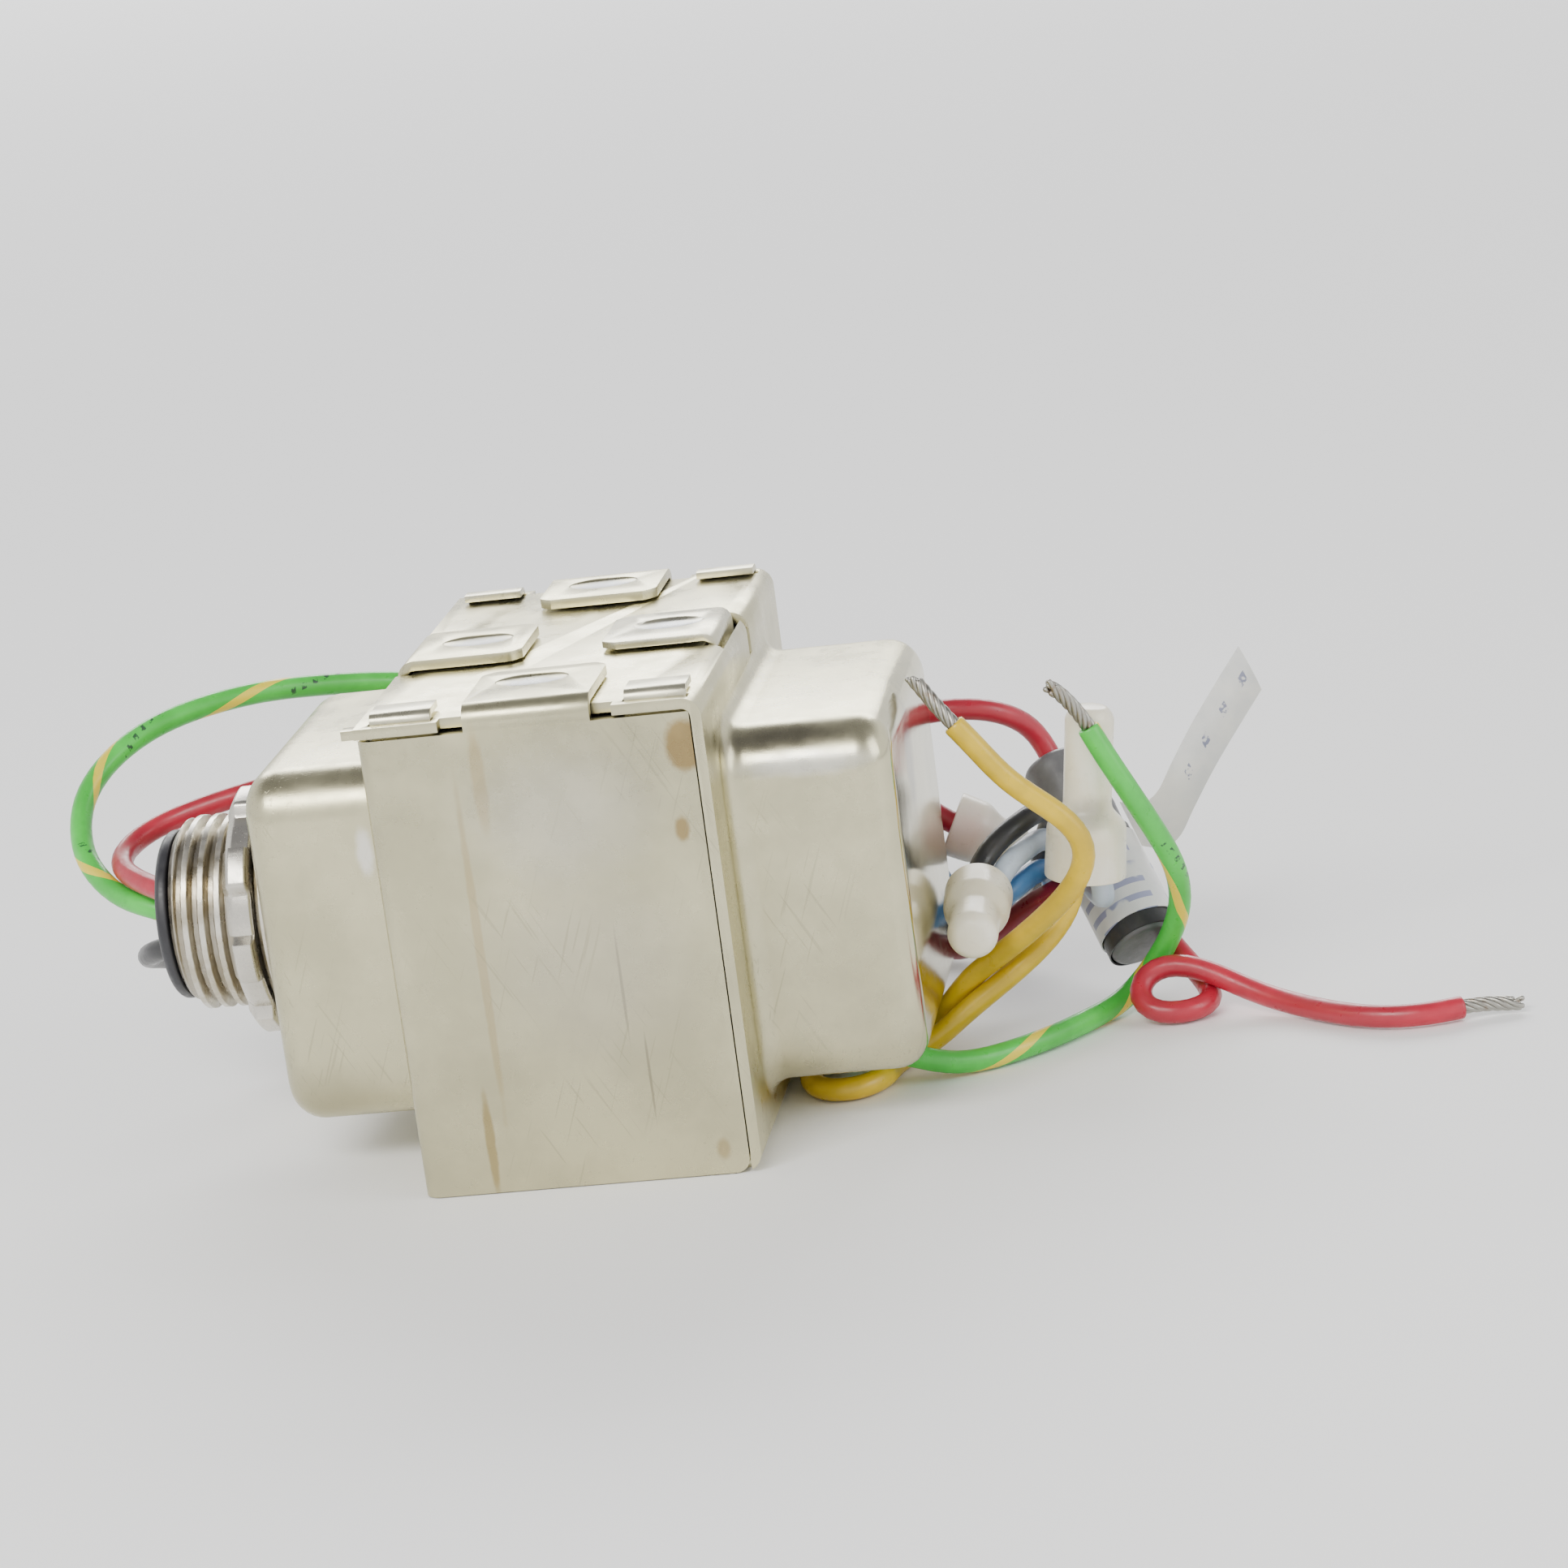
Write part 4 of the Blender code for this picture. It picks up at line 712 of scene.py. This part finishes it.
def sweep(bm, points, radius, sides, ends=((1.0, 0.0),), twist=((0, 0), (1, 0))):
    """A closed round tube through points. ends shapes both tips by (share of radius, set back in millimetres)."""
    uv = bm.loops.layers.uv.verify()
    axes = frames(points)
    stations = []
    run = 0.0
    for i, (point, (way, side, up)) in enumerate(zip(points, axes)):
        if i:
            run += (point - points[i - 1]).length
        if i == 0:
            stations += [(point + way * back, side, up, radius * share, 0.0) for share, back in reversed(ends)]
        elif i == len(points) - 1:
            stations += [(point - way * back, side, up, radius * share, run) for share, back in ends]
        else:
            stations.append((point, side, up, radius, run))
    rings = []
    for point, side, up, size, _ in stations:
        ring = []
        for i in range(sides):
            angle = 2 * math.pi * i / sides
            ring.append(bm.verts.new(point + size * (math.cos(angle) * side + math.sin(angle) * up)))
        rings.append(ring)
    for k, (near, far) in enumerate(zip(rings, rings[1:])):
        for i in range(sides):
            j = (i + 1) % sides
            face = bm.faces.new((near[i], near[j], far[j], far[i]))
            spots = ((i, k), (i + 1, k), (i + 1, k + 1), (i, k + 1))
            for loop, (column, row) in zip(face.loops, spots):
                length = stations[row][4]
                loop[uv].uv = (column / sides + between(twist, length), length * MM)
    bm.faces.new(rings[0][::-1])
    bm.faces.new(rings[-1])
    return bm


# ---------------------------------------------------------------- leads

JACKET_END = ((1.0, 0.35), (0.97, 0.1), (0.86, 0.0), (0.72, 0.0), (0.68, 0.5))


def length_of(points):
    return sum((q - p).length for p, q in zip(points, points[1:]))


def lead(name, route, mat, slot, far_end, with_pieces=(), twist=((0, 0), (100, 1.3))):
    """A jacketed lead along its route; what it carries at its far end is passed in but not used. A short route is
    relaxed less.
    """
    points = smooth_route(route, LEAD_STEP, 6 if len(route) > 13 else 1)
    bm = sweep(bmesh.new(), points, LEAD_R, LEAD_SIDES, JACKET_END, twist)
    obj = publish(name + "_jacket", bm, mat, (name,), crease=50)
    return obj


def tip(name, route, mat, seed):
    """Seven tinned strands twisted together, a little open at their ends."""
    draw = random.Random(seed)
    start = Vector(route[0])
    root = start - (Vector(route[1]) - start).normalized() * TIP_HIDDEN
    line = smooth_route((root, *route), TIP_STEP, 3)
    axes = frames(line)
    whole = length_of(line)
    strand, ring = TIP_R * 0.36, TIP_R * 0.62
    bm = bmesh.new()
    for i in range(7):
        reach = 0.0 if i == 0 else ring
        stop = len(line) - draw.randrange(0, 4)
        lean = draw.uniform(-0.15, 0.15)
        points = []
        for k in range(stop):
            way, side, up = axes[k]
            share = k / (len(line) - 1)
            angle = 2 * math.pi * (i / 6 + share * whole / TIP_PITCH)
            out = reach * (1 + lean * max(0.0, share - 0.75) * 4)
            points.append(line[k] + out * (math.cos(angle) * side + math.sin(angle) * up))
        sweep(bm, points, strand, 8, ((1.0, 0.12), (0.7, 0.0)))
    return publish(name + "_strands", bm, mat, (name,), crease=60)


def tube_profile(bore, radius, low, high, steps):
    """A tube's closed profile, with stations down its outside for a shape to move."""
    outside = [(radius, high - (high - low) * i / steps) for i in range(steps + 1)]
    return [(bore, high), *outside, (bore, low)]


def connector(name, nylon, tin):
    """A closed-end crimp connector: thin nylon shell flaring to its skirt, over a crimped tinned sleeve."""
    rim, end, skirt, skirt_long, barrel = CONNECTORS[name]
    rim, end = Vector(rim), Vector(end)
    long = (end - rim).length
    taper = skirt_long + 1.8
    wall, dome = 0.75, 1.2
    profile = [
        (0, long), (barrel * 0.72, long - 0.12), (barrel, long - dome), (barrel - 0.04, taper),
        (skirt - 0.12, skirt_long), (skirt, 0.5), (skirt, 0), (skirt - wall, 0), (skirt - wall, skirt_long),
        (barrel - wall, taper), (barrel - wall, long - dome), (0, long - dome),
    ]
    bm = lathe(bmesh.new(), softened(profile, 0.7, 5), 48, rim, end - rim)
    shell = publish(name + "_closed_end", bm, nylon, (name + "_connector",), crease=40)
    bore = barrel - wall - 0.25
    low, high = taper + 0.3, long - 2.2
    middle = (low + high) / 2
    sleeve = tube_profile(bore - 0.35, bore, low, high, 12)

    def pressed(radius, height, angle):
        dent = math.exp(-((height - middle) / 0.9) ** 2) * max(0.0, math.cos(2 * angle)) * 0.3
        return (radius - dent if radius > bore - 0.1 else radius - dent * 0.9), height

    bm = lathe(bmesh.new(), sleeve, 32, rim, end - rim, pressed)
    crimp = publish(name + "_sleeve", bm, tin, (name + "_crimp",), crease=40)
    return shell, crimp


def capsule():
    """The in-line component in its shrink sleeve, and the label wound round it."""
    along = CAPSULE_B - CAPSULE_A
    long = along.length
    body = [(0, long), (CAPSULE_R - 0.4, long), (CAPSULE_R, long - 0.4)]
    body += [(CAPSULE_R, long - 0.6 - (long - 1.2) * i / 24) for i in range(25)]
    body += [(CAPSULE_R - 0.5, 0), (0, 0)]

    def shrunk(radius, height, angle):
        ripple = 0.05 * math.sin(3 * angle + height * 0.8) + 0.03 * math.sin(7 * angle - height * 1.9)
        return (radius + ripple - 0.04 if radius > 3 else radius), height

    core = publish("capsule_body", lathe(bmesh.new(), softened(body, 0.35), 48, CAPSULE_A, along, shrunk),
                   moulded("capsule_grey", (0.1, 0.1, 0.105), 0.38), ("capsule",))
    pieces = [core]
    black = moulded("sleeve_black", (0.022, 0.022, 0.024), 0.36)
    for name, node, radius, (low, high), mat, slot in (
        ("sleeve_band", "capsule_sleeve", SLEEVE_R, SLEEVE_SPAN, black, "sleeve_black"),
        ("label_wrap", "capsule_wrap", WRAP_R, WRAP_SPAN, wrap_film(), "label_paper"),
    ):
        def wrapped(r, h, angle):
            edge = 0.08 * math.sin(2 * angle + 1) + 0.05 * math.sin(5 * angle)
            share = (h - low) / (high - low) - 0.5
            return r, h + edge * share * 2

        profile = tube_profile(radius - 0.15, radius, low, high, 16)
        pieces.append(publish(name, lathe(bmesh.new(), profile, 64, CAPSULE_A, along, wrapped), mat, (node,)))
    pieces.append(label_flag())
    return pieces


def label_flag():
    """The label's free end: a thin strip that stands off the capsule with a slight cup across it."""
    half = (CAPSULE_B - CAPSULE_A).normalized() * FLAG_WIDE / 2
    line = smooth_route(FLAG_LINE, FLAG_STEP, 3)
    axes = frames(line)
    columns = 8
    bm = bmesh.new()
    uv = bm.loops.layers.uv.verify()
    rows, places = [], []
    for k, point in enumerate(line):
        places.append(length_of(line[:k + 1]) * MM)
        normal = axes[k][0].cross(half).normalized()
        row = []
        for i in range(columns + 1):
            share = 2 * i / columns - 1
            cup = FLAG_CUP * (1 - share ** 2) * min(1.0, k / 20)
            row.append(bm.verts.new(point + half * share + normal * cup))
        rows.append(row)
    for k, (near, far) in enumerate(zip(rows, rows[1:])):
        for i in range(columns):
            face = bm.faces.new((near[i], near[i + 1], far[i + 1], far[i]))
            for loop, (column, row) in zip(face.loops, ((i, k), (i + 1, k), (i + 1, k + 1), (i, k + 1))):
                loop[uv].uv = (2 * column / columns - 1, places[row])
    bmesh.ops.solidify(bm, geom=bm.faces[:], thickness=FLAG_THICK)
    bmesh.ops.recalc_face_normals(bm, faces=bm.faces)
    return publish("label_tail", bm, tail_film(), ("label_flag",), crease=50)


def leads():
    tin, nylon = tinned_copper(), milky_nylon()
    crimp_tin = plated_steel("crimp_tin", (0.66, 0.65, 0.63), gloss=0.34)
    ends = {name: connector(name, nylon, crimp_tin) for name in CONNECTORS}
    packed = capsule()
    green_tip = tip("green_tip", GREEN_TIP_ROUTE, tin, 3)
    yellow_tip = tip("yellow_tip", YELLOW_TIP_ROUTE, tin, 5)
    red_tip = tip("red_tip", RED_TIP_ROUTE, tin, 8)
    jackets = {name: lead_jacket(name + "_jacket", *colours) for name, colours in {
        "green": ((0.06, 0.6, 0.06), (0.75, 0.6, 0.04)),
        "red": ((0.5, 0.02, 0.045),),
        "black": ((0.028, 0.028, 0.03),),
        "yellow": ((0.74, 0.5, 0.012),),
        "maroon": ((0.26, 0.012, 0.035),),
        "blue": ((0.07, 0.24, 0.55),),
        "pale_blue": ((0.6, 0.7, 0.84),),
    }.items()}
    for name, colour, route, *rest in (
        ("green_lead", "green", GREEN_ROUTE, "bare", (green_tip,), GREEN_TWIST),
        ("red_lead_a", "red", RED_A_ROUTE, "fitting", packed),
        ("red_lead_b", "red", RED_B_ROUTE, "bare", (red_tip,)),
        ("black_lead", "black", BLACK_ROUTE, "connector", ends["front"]),
        ("yellow_lead_a", "yellow", YELLOW_A_ROUTE, "bare", (yellow_tip,)),
        ("yellow_lead_b", "yellow", YELLOW_B_ROUTE, "connector", ends["upright"]),
        ("maroon_lead", "maroon", MAROON_ROUTE, "object"),
        ("blue_lead", "blue", BLUE_ROUTE, "object"),
        ("pale_blue_lead", "pale_blue", PALE_BLUE_ROUTE, "object"),
        ("red_stub", "red", RED_STUB_ROUTE, "connector", ends["rear"]),
    ):
        lead(name, route, jackets[colour], colour + "_pvc", *rest)


# ---------------------------------------------------------------- folded case

SCRATCH = []
PLANES = {"xy": lambda a, b, w: (a, b, w), "yz": lambda a, b, w: (w, a, b), "xz": lambda a, b, w: (a, w, b)}


def scratch(name, bm):
    """A working object in plain millimetres, removed once the piece it shapes is made."""
    mesh = bpy.data.meshes.new(name)
    bm.to_mesh(mesh)
    bm.free()
    obj = bpy.data.objects.new(name, mesh)
    bpy.context.scene.collection.objects.link(obj)
    SCRATCH.append(obj)
    return obj


def clear_scratch():
    for obj in SCRATCH:
        bpy.data.objects.remove(obj)
    SCRATCH.clear()


def evaluated(obj):
    bpy.context.view_layer.update()
    graph = bpy.context.evaluated_depsgraph_get()
    mesh = bpy.data.meshes.new_from_object(obj.evaluated_get(graph))
    bm = bmesh.new()
    bm.from_mesh(mesh)
    bpy.data.meshes.remove(mesh)
    return bm


def combine(obj, other, how):
    mod = obj.modifiers.new(how.lower(), "BOOLEAN")
    mod.operation = how
    mod.object = other


def thicken(obj, thickness):
    mod = obj.modifiers.new("sheet", "SOLIDIFY")
    mod.thickness = thickness
    mod.offset = -1
    mod.use_even_offset = True


def box(name, low, high):
    bm = bmesh.new()
    bmesh.ops.create_cube(bm, size=1)
    for vert in bm.verts:
        for i in range(3):
            vert.co[i] = low[i] if vert.co[i] < 0 else high[i]
    return scratch(name, bm)


def folded_sheet(name, path, plane, span, thickness):
    """A bent sheet: path is its outer face, material lies to the left of travel, span(point) is its width."""
    spot = PLANES[plane]
    bm = bmesh.new()
    pairs = [[bm.verts.new(spot(p[0], p[1], w)) for w in span(p)] for p in path]
    for near, far in zip(pairs, pairs[1:]):
        bm.faces.new((near[0], far[0], far[1], near[1]))
    sheet = scratch(name, bm)
    thicken(sheet, thickness)
    return sheet


def rounded_rectangle(half_a, half_b, radius):
    outline = []
    for corner in range(4):
        sign_a = 1 if corner in (0, 3) else -1
        sign_b = 1 if corner in (0, 1) else -1
        for i in range(ARC_STEPS + 1):
            angle = (corner + i / ARC_STEPS) * math.pi / 2
            outline.append((sign_a * (half_a - radius) + radius * math.cos(angle),
                            sign_b * (half_b - radius) + radius * math.sin(angle)))
    return outline


def loft_along_x(name, rings, cap_start):
    bm = bmesh.new()
    made = [[bm.verts.new((x, y, z)) for y, z in outline] for x, outline in rings]
    forward = rings[-1][0] > rings[0][0]
    for near, far in zip(made, made[1:]):
        for i in range(len(near)):
            j = (i + 1) % len(near)
            quad = (near[i], near[j], far[j], far[i])
            bm.faces.new(quad if forward else quad[::-1])
    bm.faces.new(made[-1] if forward else made[-1][::-1])
    if cap_start:
        bm.faces.new(made[0][::-1] if forward else made[0])
    return scratch(name, bm)


def bell(name, web_x, tip_x):
    """A drawn bell: root fillet on the web, straight wall, rounded end."""
    side = math.copysign(1, tip_x)
    foot, end = abs(web_x) - 0.05, abs(tip_x)
    stations = []
    for i in range(7):
        angle = i / 6 * math.pi / 2
        stations.append((foot + BELL_ROOT * (1 - math.cos(angle)), BELL_ROOT * (1 - math.sin(angle))))
    for i in range(9):
        angle = i / 8 * math.pi / 2
        stations.append((end - BELL_EDGE * (1 - math.sin(angle)), -BELL_EDGE * (1 - math.cos(angle))))
    rings = []
    for x, grow in stations:
        outline = rounded_rectangle(BELL_HALF_Y + grow, BELL_HALF_Z + grow, BELL_CORNER + grow)
        rings.append((side * x, [(y, z + BELL_Z) for y, z in outline]))
    shell = loft_along_x(name, rings, cap_start=False)
    thicken(shell, BELL_WALL)
    return shell


def bell_mouth(name, web_x):
    outline = rounded_rectangle(BELL_HALF_Y - 0.15, BELL_HALF_Z - 0.15, BELL_CORNER)
    ring = [(y, z + BELL_Z) for y, z in outline]
    return loft_along_x(name, [(web_x - 3, ring), (web_x + 3, ring)], cap_start=True)


def plug(name, radius, low, high, centre, along):
    profile = ((0, high), (radius, high), (radius, low), (0, low))
    return scratch(name, lathe(bmesh.new(), profile, 48, centre, along))


def tab_span(end, axis, direction):
    """The width of a tab whose free end is narrower, its corners rounded."""
    def span(p):
        share = min(1.0, max(0.0, (end - p[axis]) * direction / TAB_TIP_LONG))
        half = TAB_TIP_HALF + (TAB_HALF - TAB_TIP_HALF) * math.sin(share * math.pi / 2)
        return -half, half
    return span


def tab_path(corners, tip_first, axis, direction):
    """A tab's fold with extra stations near its free end, where it narrows."""
    path = filleted(corners, TAB_BEND)
    end = path[0] if tip_first else path[-1]
    extra = []
    for i in range(1, 6):
        spot = Vector(end)
        spot[axis] -= direction * TAB_TIP_LONG * i / 5
        extra.append(spot)
    return path[:1] + extra + path[1:] if tip_first else path[:-1] + extra[::-1] + path[-1:]


def dimple(name, x, y, top):
    bm = bmesh.new()
    bmesh.ops.create_uvsphere(bm, u_segments=40, v_segments=24, radius=1)
    for vert in bm.verts:
        for i in range(3):
            vert.co[i] = vert.co[i] * DIMPLE[i] + (x, y, top)[i]
    return scratch(name, bm)


def cleaned(bm, width):
    """Joins what the cutting left split, then breaks the sharp edges a little, as tumbled sheet has."""
    bmesh.ops.remove_doubles(bm, verts=bm.verts, dist=0.003)
    bmesh.ops.dissolve_limit(bm, angle_limit=math.radians(0.4), verts=bm.verts, edges=bm.edges)
    bmesh.ops.dissolve_degenerate(bm, edges=bm.edges, dist=0.003)
    sharp = [e for e in bm.edges if len(e.link_faces) == 2 and e.calc_face_angle(0) > math.radians(40)]
    bmesh.ops.bevel(bm, geom=sharp, offset=width, segments=2, profile=0.5, affect="EDGES", clamp_overlap=True)
    return bm


def left_case(steel):
    corner = WALL_END - WALL_CORNER
    ends = [WALL_END - WALL_CORNER * (1 - math.sin(math.radians(a))) for a in (0, 18, 36, 54, 72)]
    back = [(x, HALF_Y) for x in (WALL_END, *reversed(ends))]
    front = [(x, -HALF_Y) for x in (*ends, WALL_END)]
    turns = filleted((back[-1], (-HALF_X, HALF_Y), (-HALF_X, -HALF_Y), front[0]), LEFT_BEND)
    path = [Vector(p) for p in back[:-1]] + turns + [Vector(p) for p in front[1:]]

    def wall_span(p):
        past = max(0.0, min(WALL_CORNER, p[0] - corner))
        return WALL_CORNER - math.sqrt(WALL_CORNER ** 2 - past ** 2), WALL_TOP

    shell = folded_sheet("left_sheet", path, "xy", wall_span, SHEET)
    combine(shell, bell_mouth("left_mouth", -HALF_X), "DIFFERENCE")
    combine(shell, bell("left_drawn", -HALF_X, BELL_LEFT), "UNION")
    face_y, face_x = HALF_Y - 0.03, HALF_X - 0.03
    front_corners = ((FRONT_TAB_END, TAB_TOP), (-face_y, TAB_TOP), (-face_y, TAB_FOOT))
    back_corners = ((face_y, TAB_FOOT), (face_y, TAB_TOP), (BACK_TAB_END, TAB_TOP))
    left_corners = ((-face_x, TAB_FOOT + 2), (-face_x, TAB_TOP), (LEFT_TAB_END, TAB_TOP))
    tabs = (
        ("front_tab", tab_path(front_corners, True, 0, 1), "yz", tab_span(FRONT_TAB_END, 0, 1)),
        ("back_tab", tab_path(back_corners, False, 0, -1), "yz", tab_span(BACK_TAB_END, 0, -1)),
        ("left_tab", tab_path(left_corners, False, 0, 1), "xz", tab_span(LEFT_TAB_END, 0, 1)),
    )
    for name, fold, plane, span in tabs:
        combine(shell, folded_sheet(name, fold, plane, span, TAB_SHEET), "UNION")
    combine(shell, plug("hub_hole", HUB_HOLE, 30, 40, HUB_FOOT, HUB_WAY), "DIFFERENCE")
    for i, (x, y) in enumerate(LEFT_DIMPLES):
        combine(shell, dimple(f"left_dimple_{i}", x, y, TAB_TOP), "DIFFERENCE")
    bm = cleaned(evaluated(shell), CUT_EDGE)
    clear_scratch()
    return publish("left_case", bm, steel, ("left_shell",))


# What is cut at each long edge of the right half, by x, distance from the middle and z: the notches for the
# left half's tab and foot, and the slots for the inner strap's tabs
WALL_CUTS = (
    ((-9.2, 8.9), (28.6, HALF_Y + 2), (48, 53)),
    ((-20, 16.85), (28.8, HALF_Y + 2), (-2, 3)),
    ((-16.7, -9.9), (27.8, 29.2), (48, 53)),
    ((9.9, 16.7), (27.8, 29.2), (48, 53)),
)


def right_case(steel):
    path = filleted(((-HALF_X, TOP), (HALF_X, TOP), (HALF_X, 0), (-WALL_END, 0)), RIGHT_BEND)
    shell = folded_sheet("right_sheet", path, "xz", lambda p: (-HALF_Y, HALF_Y), SHEET)
    combine(shell, bell_mouth("right_mouth", HALF_X), "DIFFERENCE")
    combine(shell, bell("right_drawn", HALF_X, BELL_RIGHT), "UNION")
    combine(shell, box("ear", (-19.3, -HALF_Y + 0.05, 49.75), (-17.5, -28.4, 50.75)), "UNION")
    cuts = [
        ((-20, -7.2, 48), (-16.3, 7.2, 53)),
        ((15.4, -6.9, 49), (17.4, 6.9, 53)),
        ((15.4, 6.4, 46.2), (20, 8.2, 53)),
    ]
    for side in (-1, 1):
        for (left, right), (near, far), (bottom, top) in WALL_CUTS:
            low, high = sorted((side * near, side * far))
            cuts.append(((left, low, bottom), (right, high, top)))
    for i, (low, high) in enumerate(cuts):
        combine(shell, box(f"cut_{i}", low, high), "DIFFERENCE")
    hole = plug("grommet_hole", GROMMET_HOLE, 17, GROMMET_OUTER, (GROMMET_X, 0, GROMMET_Z), (0, 1, 0))
    combine(shell, hole, "DIFFERENCE")
    bm = cleaned(evaluated(shell), CUT_EDGE)
    clear_scratch()
    return publish("right_case", bm, steel, ("right_shell",))


def refined(node, name, mat):
    """A CAD solid's own shape with its edges broken."""
    bm = bmesh.new()
    bm.from_mesh(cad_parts[node].data)
    bm.transform(ORIGIN.inverted())
    return publish(name, cleaned(bm, SOLID_EDGE), mat, (node,))


# ---------------------------------------------------------------- hub

def hub(plating, nut_steel):
    """The threaded hub with its real helix, the stamped nut on it and the bushing in its mouth."""
    mouth = HUB_END - 0.25
    profile = [(HUB_BORE, HUB_END), (HUB_BORE + 0.15, HUB_END), (THREAD_ROOT - 0.25, HUB_END)]
    thread = [(THREAD_ROOT, mouth - (mouth - THREAD_FOOT) * i / THREAD_ROWS) for i in range(THREAD_ROWS + 1)]
    foot = [(COLLAR_R - 0.5, THREAD_FOOT), (COLLAR_R, THREAD_FOOT - 0.5), (COLLAR_R, COLLAR_FOOT + 0.3),
            (COLLAR_R - 0.3, COLLAR_FOOT), (NECK_R, COLLAR_FOOT), (NECK_R, NECK_END), (FLARE_R, NECK_END),
            (FLARE_R, FLARE_END), (HUB_BORE, FLARE_END)]

    def ridge(radius, height, angle):
        if radius != THREAD_ROOT:
            return radius, height
        phase = (height / THREAD_PITCH + angle / (2 * math.pi)) % 1
        rise = smooth(1.7 - abs(phase - 0.5) * 4.6)
        fade = min(1.0, (mouth - height) / 0.9, (height - THREAD_FOOT) / 0.7)
        return THREAD_ROOT + (THREAD_TOP - THREAD_ROOT) * rise * max(0.0, fade), height

    bm = lathe(bmesh.new(), profile + thread + foot, 120, HUB_FOOT, HUB_WAY, ridge)
    publish("threaded_hub", bm, plating, ("threaded_nipple",))

    def lugs(radius, height, angle):
        turn = (math.degrees(angle) - NUT_PHASE) / (360 / NUT_LUGS)
        off = abs(turn - round(turn)) * 2
        reach = NUT_ROOT + (NUT_LUG - NUT_ROOT) * smooth((0.56 - off) / 0.16)
        share = max(0.0, (radius - NUT_BORE) / (NUT_ROOT - NUT_BORE))
        return NUT_BORE + (reach - NUT_BORE) * min(1.0, share), height

    low, high = NUT_LOW, NUT_HIGH
    nut = [(NUT_BORE + 0.01, high - 0.35), (NUT_BORE + 0.35, high), (NUT_BORE + 1.0, high),
           (NUT_BORE + 1.25, high - 0.3), (NUT_ROOT - 0.25, high - 0.55), (NUT_ROOT, high - 0.9),
           (NUT_ROOT, low + 0.25), (NUT_ROOT - 0.25, low), (NUT_BORE + 0.35, low), (NUT_BORE + 0.01, low + 0.35)]
    bm = lathe(bmesh.new(), softened(nut, 0.18), 240, HUB_FOOT, HUB_WAY, lugs)
    publish("hub_nut", bm, nut_steel, ("locknut",), body="nut", crease=38)

    profile = ((BUSH_BORE + 0.4, BUSH_RIM_HIGH), (BUSH_RIM - 0.5, BUSH_RIM_HIGH),
               (BUSH_RIM, BUSH_RIM_HIGH - 0.5), (BUSH_RIM, BUSH_RIM_LOW), (BUSH_R, BUSH_RIM_LOW),
               (BUSH_R, BUSH_FOOT), (BUSH_BORE, BUSH_FOOT), (BUSH_BORE, BUSH_RIM_HIGH - 0.4))
    bm = lathe(bmesh.new(), softened(profile, 0.4, 4), 72, HUB_FOOT, HUB_WAY)
    publish("mouth_bushing", bm, moulded("bushing_black", (0.02, 0.02, 0.024), 0.4),
            ("lead_bushing",))


def grommet():
    profile = ((GROMMET_BORE + 0.3, GROMMET_OUTER), (GROMMET_R - 0.4, GROMMET_OUTER),
               (GROMMET_R, GROMMET_OUTER - 0.4), (GROMMET_R, GROMMET_FACE), (GROMMET_BARREL, GROMMET_FACE),
               (GROMMET_BARREL, GROMMET_INNER), (GROMMET_BORE, GROMMET_INNER),
               (GROMMET_BORE, GROMMET_OUTER - 0.3))
    bm = lathe(bmesh.new(), softened(profile, 0.35, 4), 56, (GROMMET_X, 0, GROMMET_Z), (0, 1, 0))
    publish("bell_grommet", bm, moulded("grommet_black", (0.018, 0.018, 0.018), 0.5),
            ("side_grommet",))


def inner_finishes():
    """Materials for the pieces shut in the case, which keep their own shapes."""
    finishes = {
        "e_core": striped("core_plates", (0.1, 0.1, 0.1), (0.34, 0.33, 0.32), 0.5, "X", 1.0, 0.45),
        "bobbin": moulded("bobbin_nylon", (0.78, 0.72, 0.58), 0.5),
        "primary_winding": striped("coil_wire", (0.2, 0.07, 0.02), (0.62, 0.26, 0.09), 0.45, "Z", 0.6, 0.3),
        "primary_tape": moulded("coil_film", (0.72, 0.56, 0.16), 0.34),
        "thermal_fuse": moulded("fuse_shell", (0.78, 0.77, 0.72), 0.4),
        "varistor_disc": moulded("varistor_epoxy", (0.08, 0.2, 0.5), 0.36),
    }
    finishes["i_core"] = finishes["e_core"]
    finishes["secondary_winding"] = finishes["primary_winding"]
    finishes["secondary_tape"] = finishes["primary_tape"]
    for name, mat in finishes.items():
        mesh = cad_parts[name].data
        if not mesh.materials:
            mesh.materials.append(mat)
        for i in range(len(mesh.materials)):
            mesh.materials[i] = mat


def floor():
    bm = bmesh.new()
    bmesh.ops.create_circle(bm, cap_ends=True, radius=FLOOR_RADIUS, segments=96)
    mesh = bpy.data.meshes.new("floor")
    bm.to_mesh(mesh)
    bm.free()
    paint = Paint("floor_white", Roughness=0.75)
    paint.set("Base Color", paint.mix(paint.noise(0.004, 2.0), (0.93, 0.93, 0.93), (0.95, 0.95, 0.95)))
    mesh.materials.append(paint.mat)
    obj = bpy.data.objects.new("floor", mesh)
    obj.location = (0, 0, CAD_BOX[0][2] - FLOOR_GAP)
    bpy.context.scene.collection.objects.link(obj)


camera()
light()
leads()
left_case(plated_steel("left_plate", (0.59, 0.555, 0.37), FRONT_MARKS + LEFT_MARKS))
right_case(plated_steel("right_plate", (0.61, 0.575, 0.39), RIGHT_MARKS, polished=BELL_FACE))
refined("core_frame", "inner_strap", plated_steel("strap_plate", (0.64, 0.61, 0.46)))
refined("top_clip", "spring_clip", plated_steel("clip_plate", (0.66, 0.63, 0.48), CLIP_DIMPLE_REFLECTION))
hub(hub_plating(), plated_steel("nut_plate", (0.68, 0.65, 0.58), gloss=0.22))
grommet()
inner_finishes()
floor()
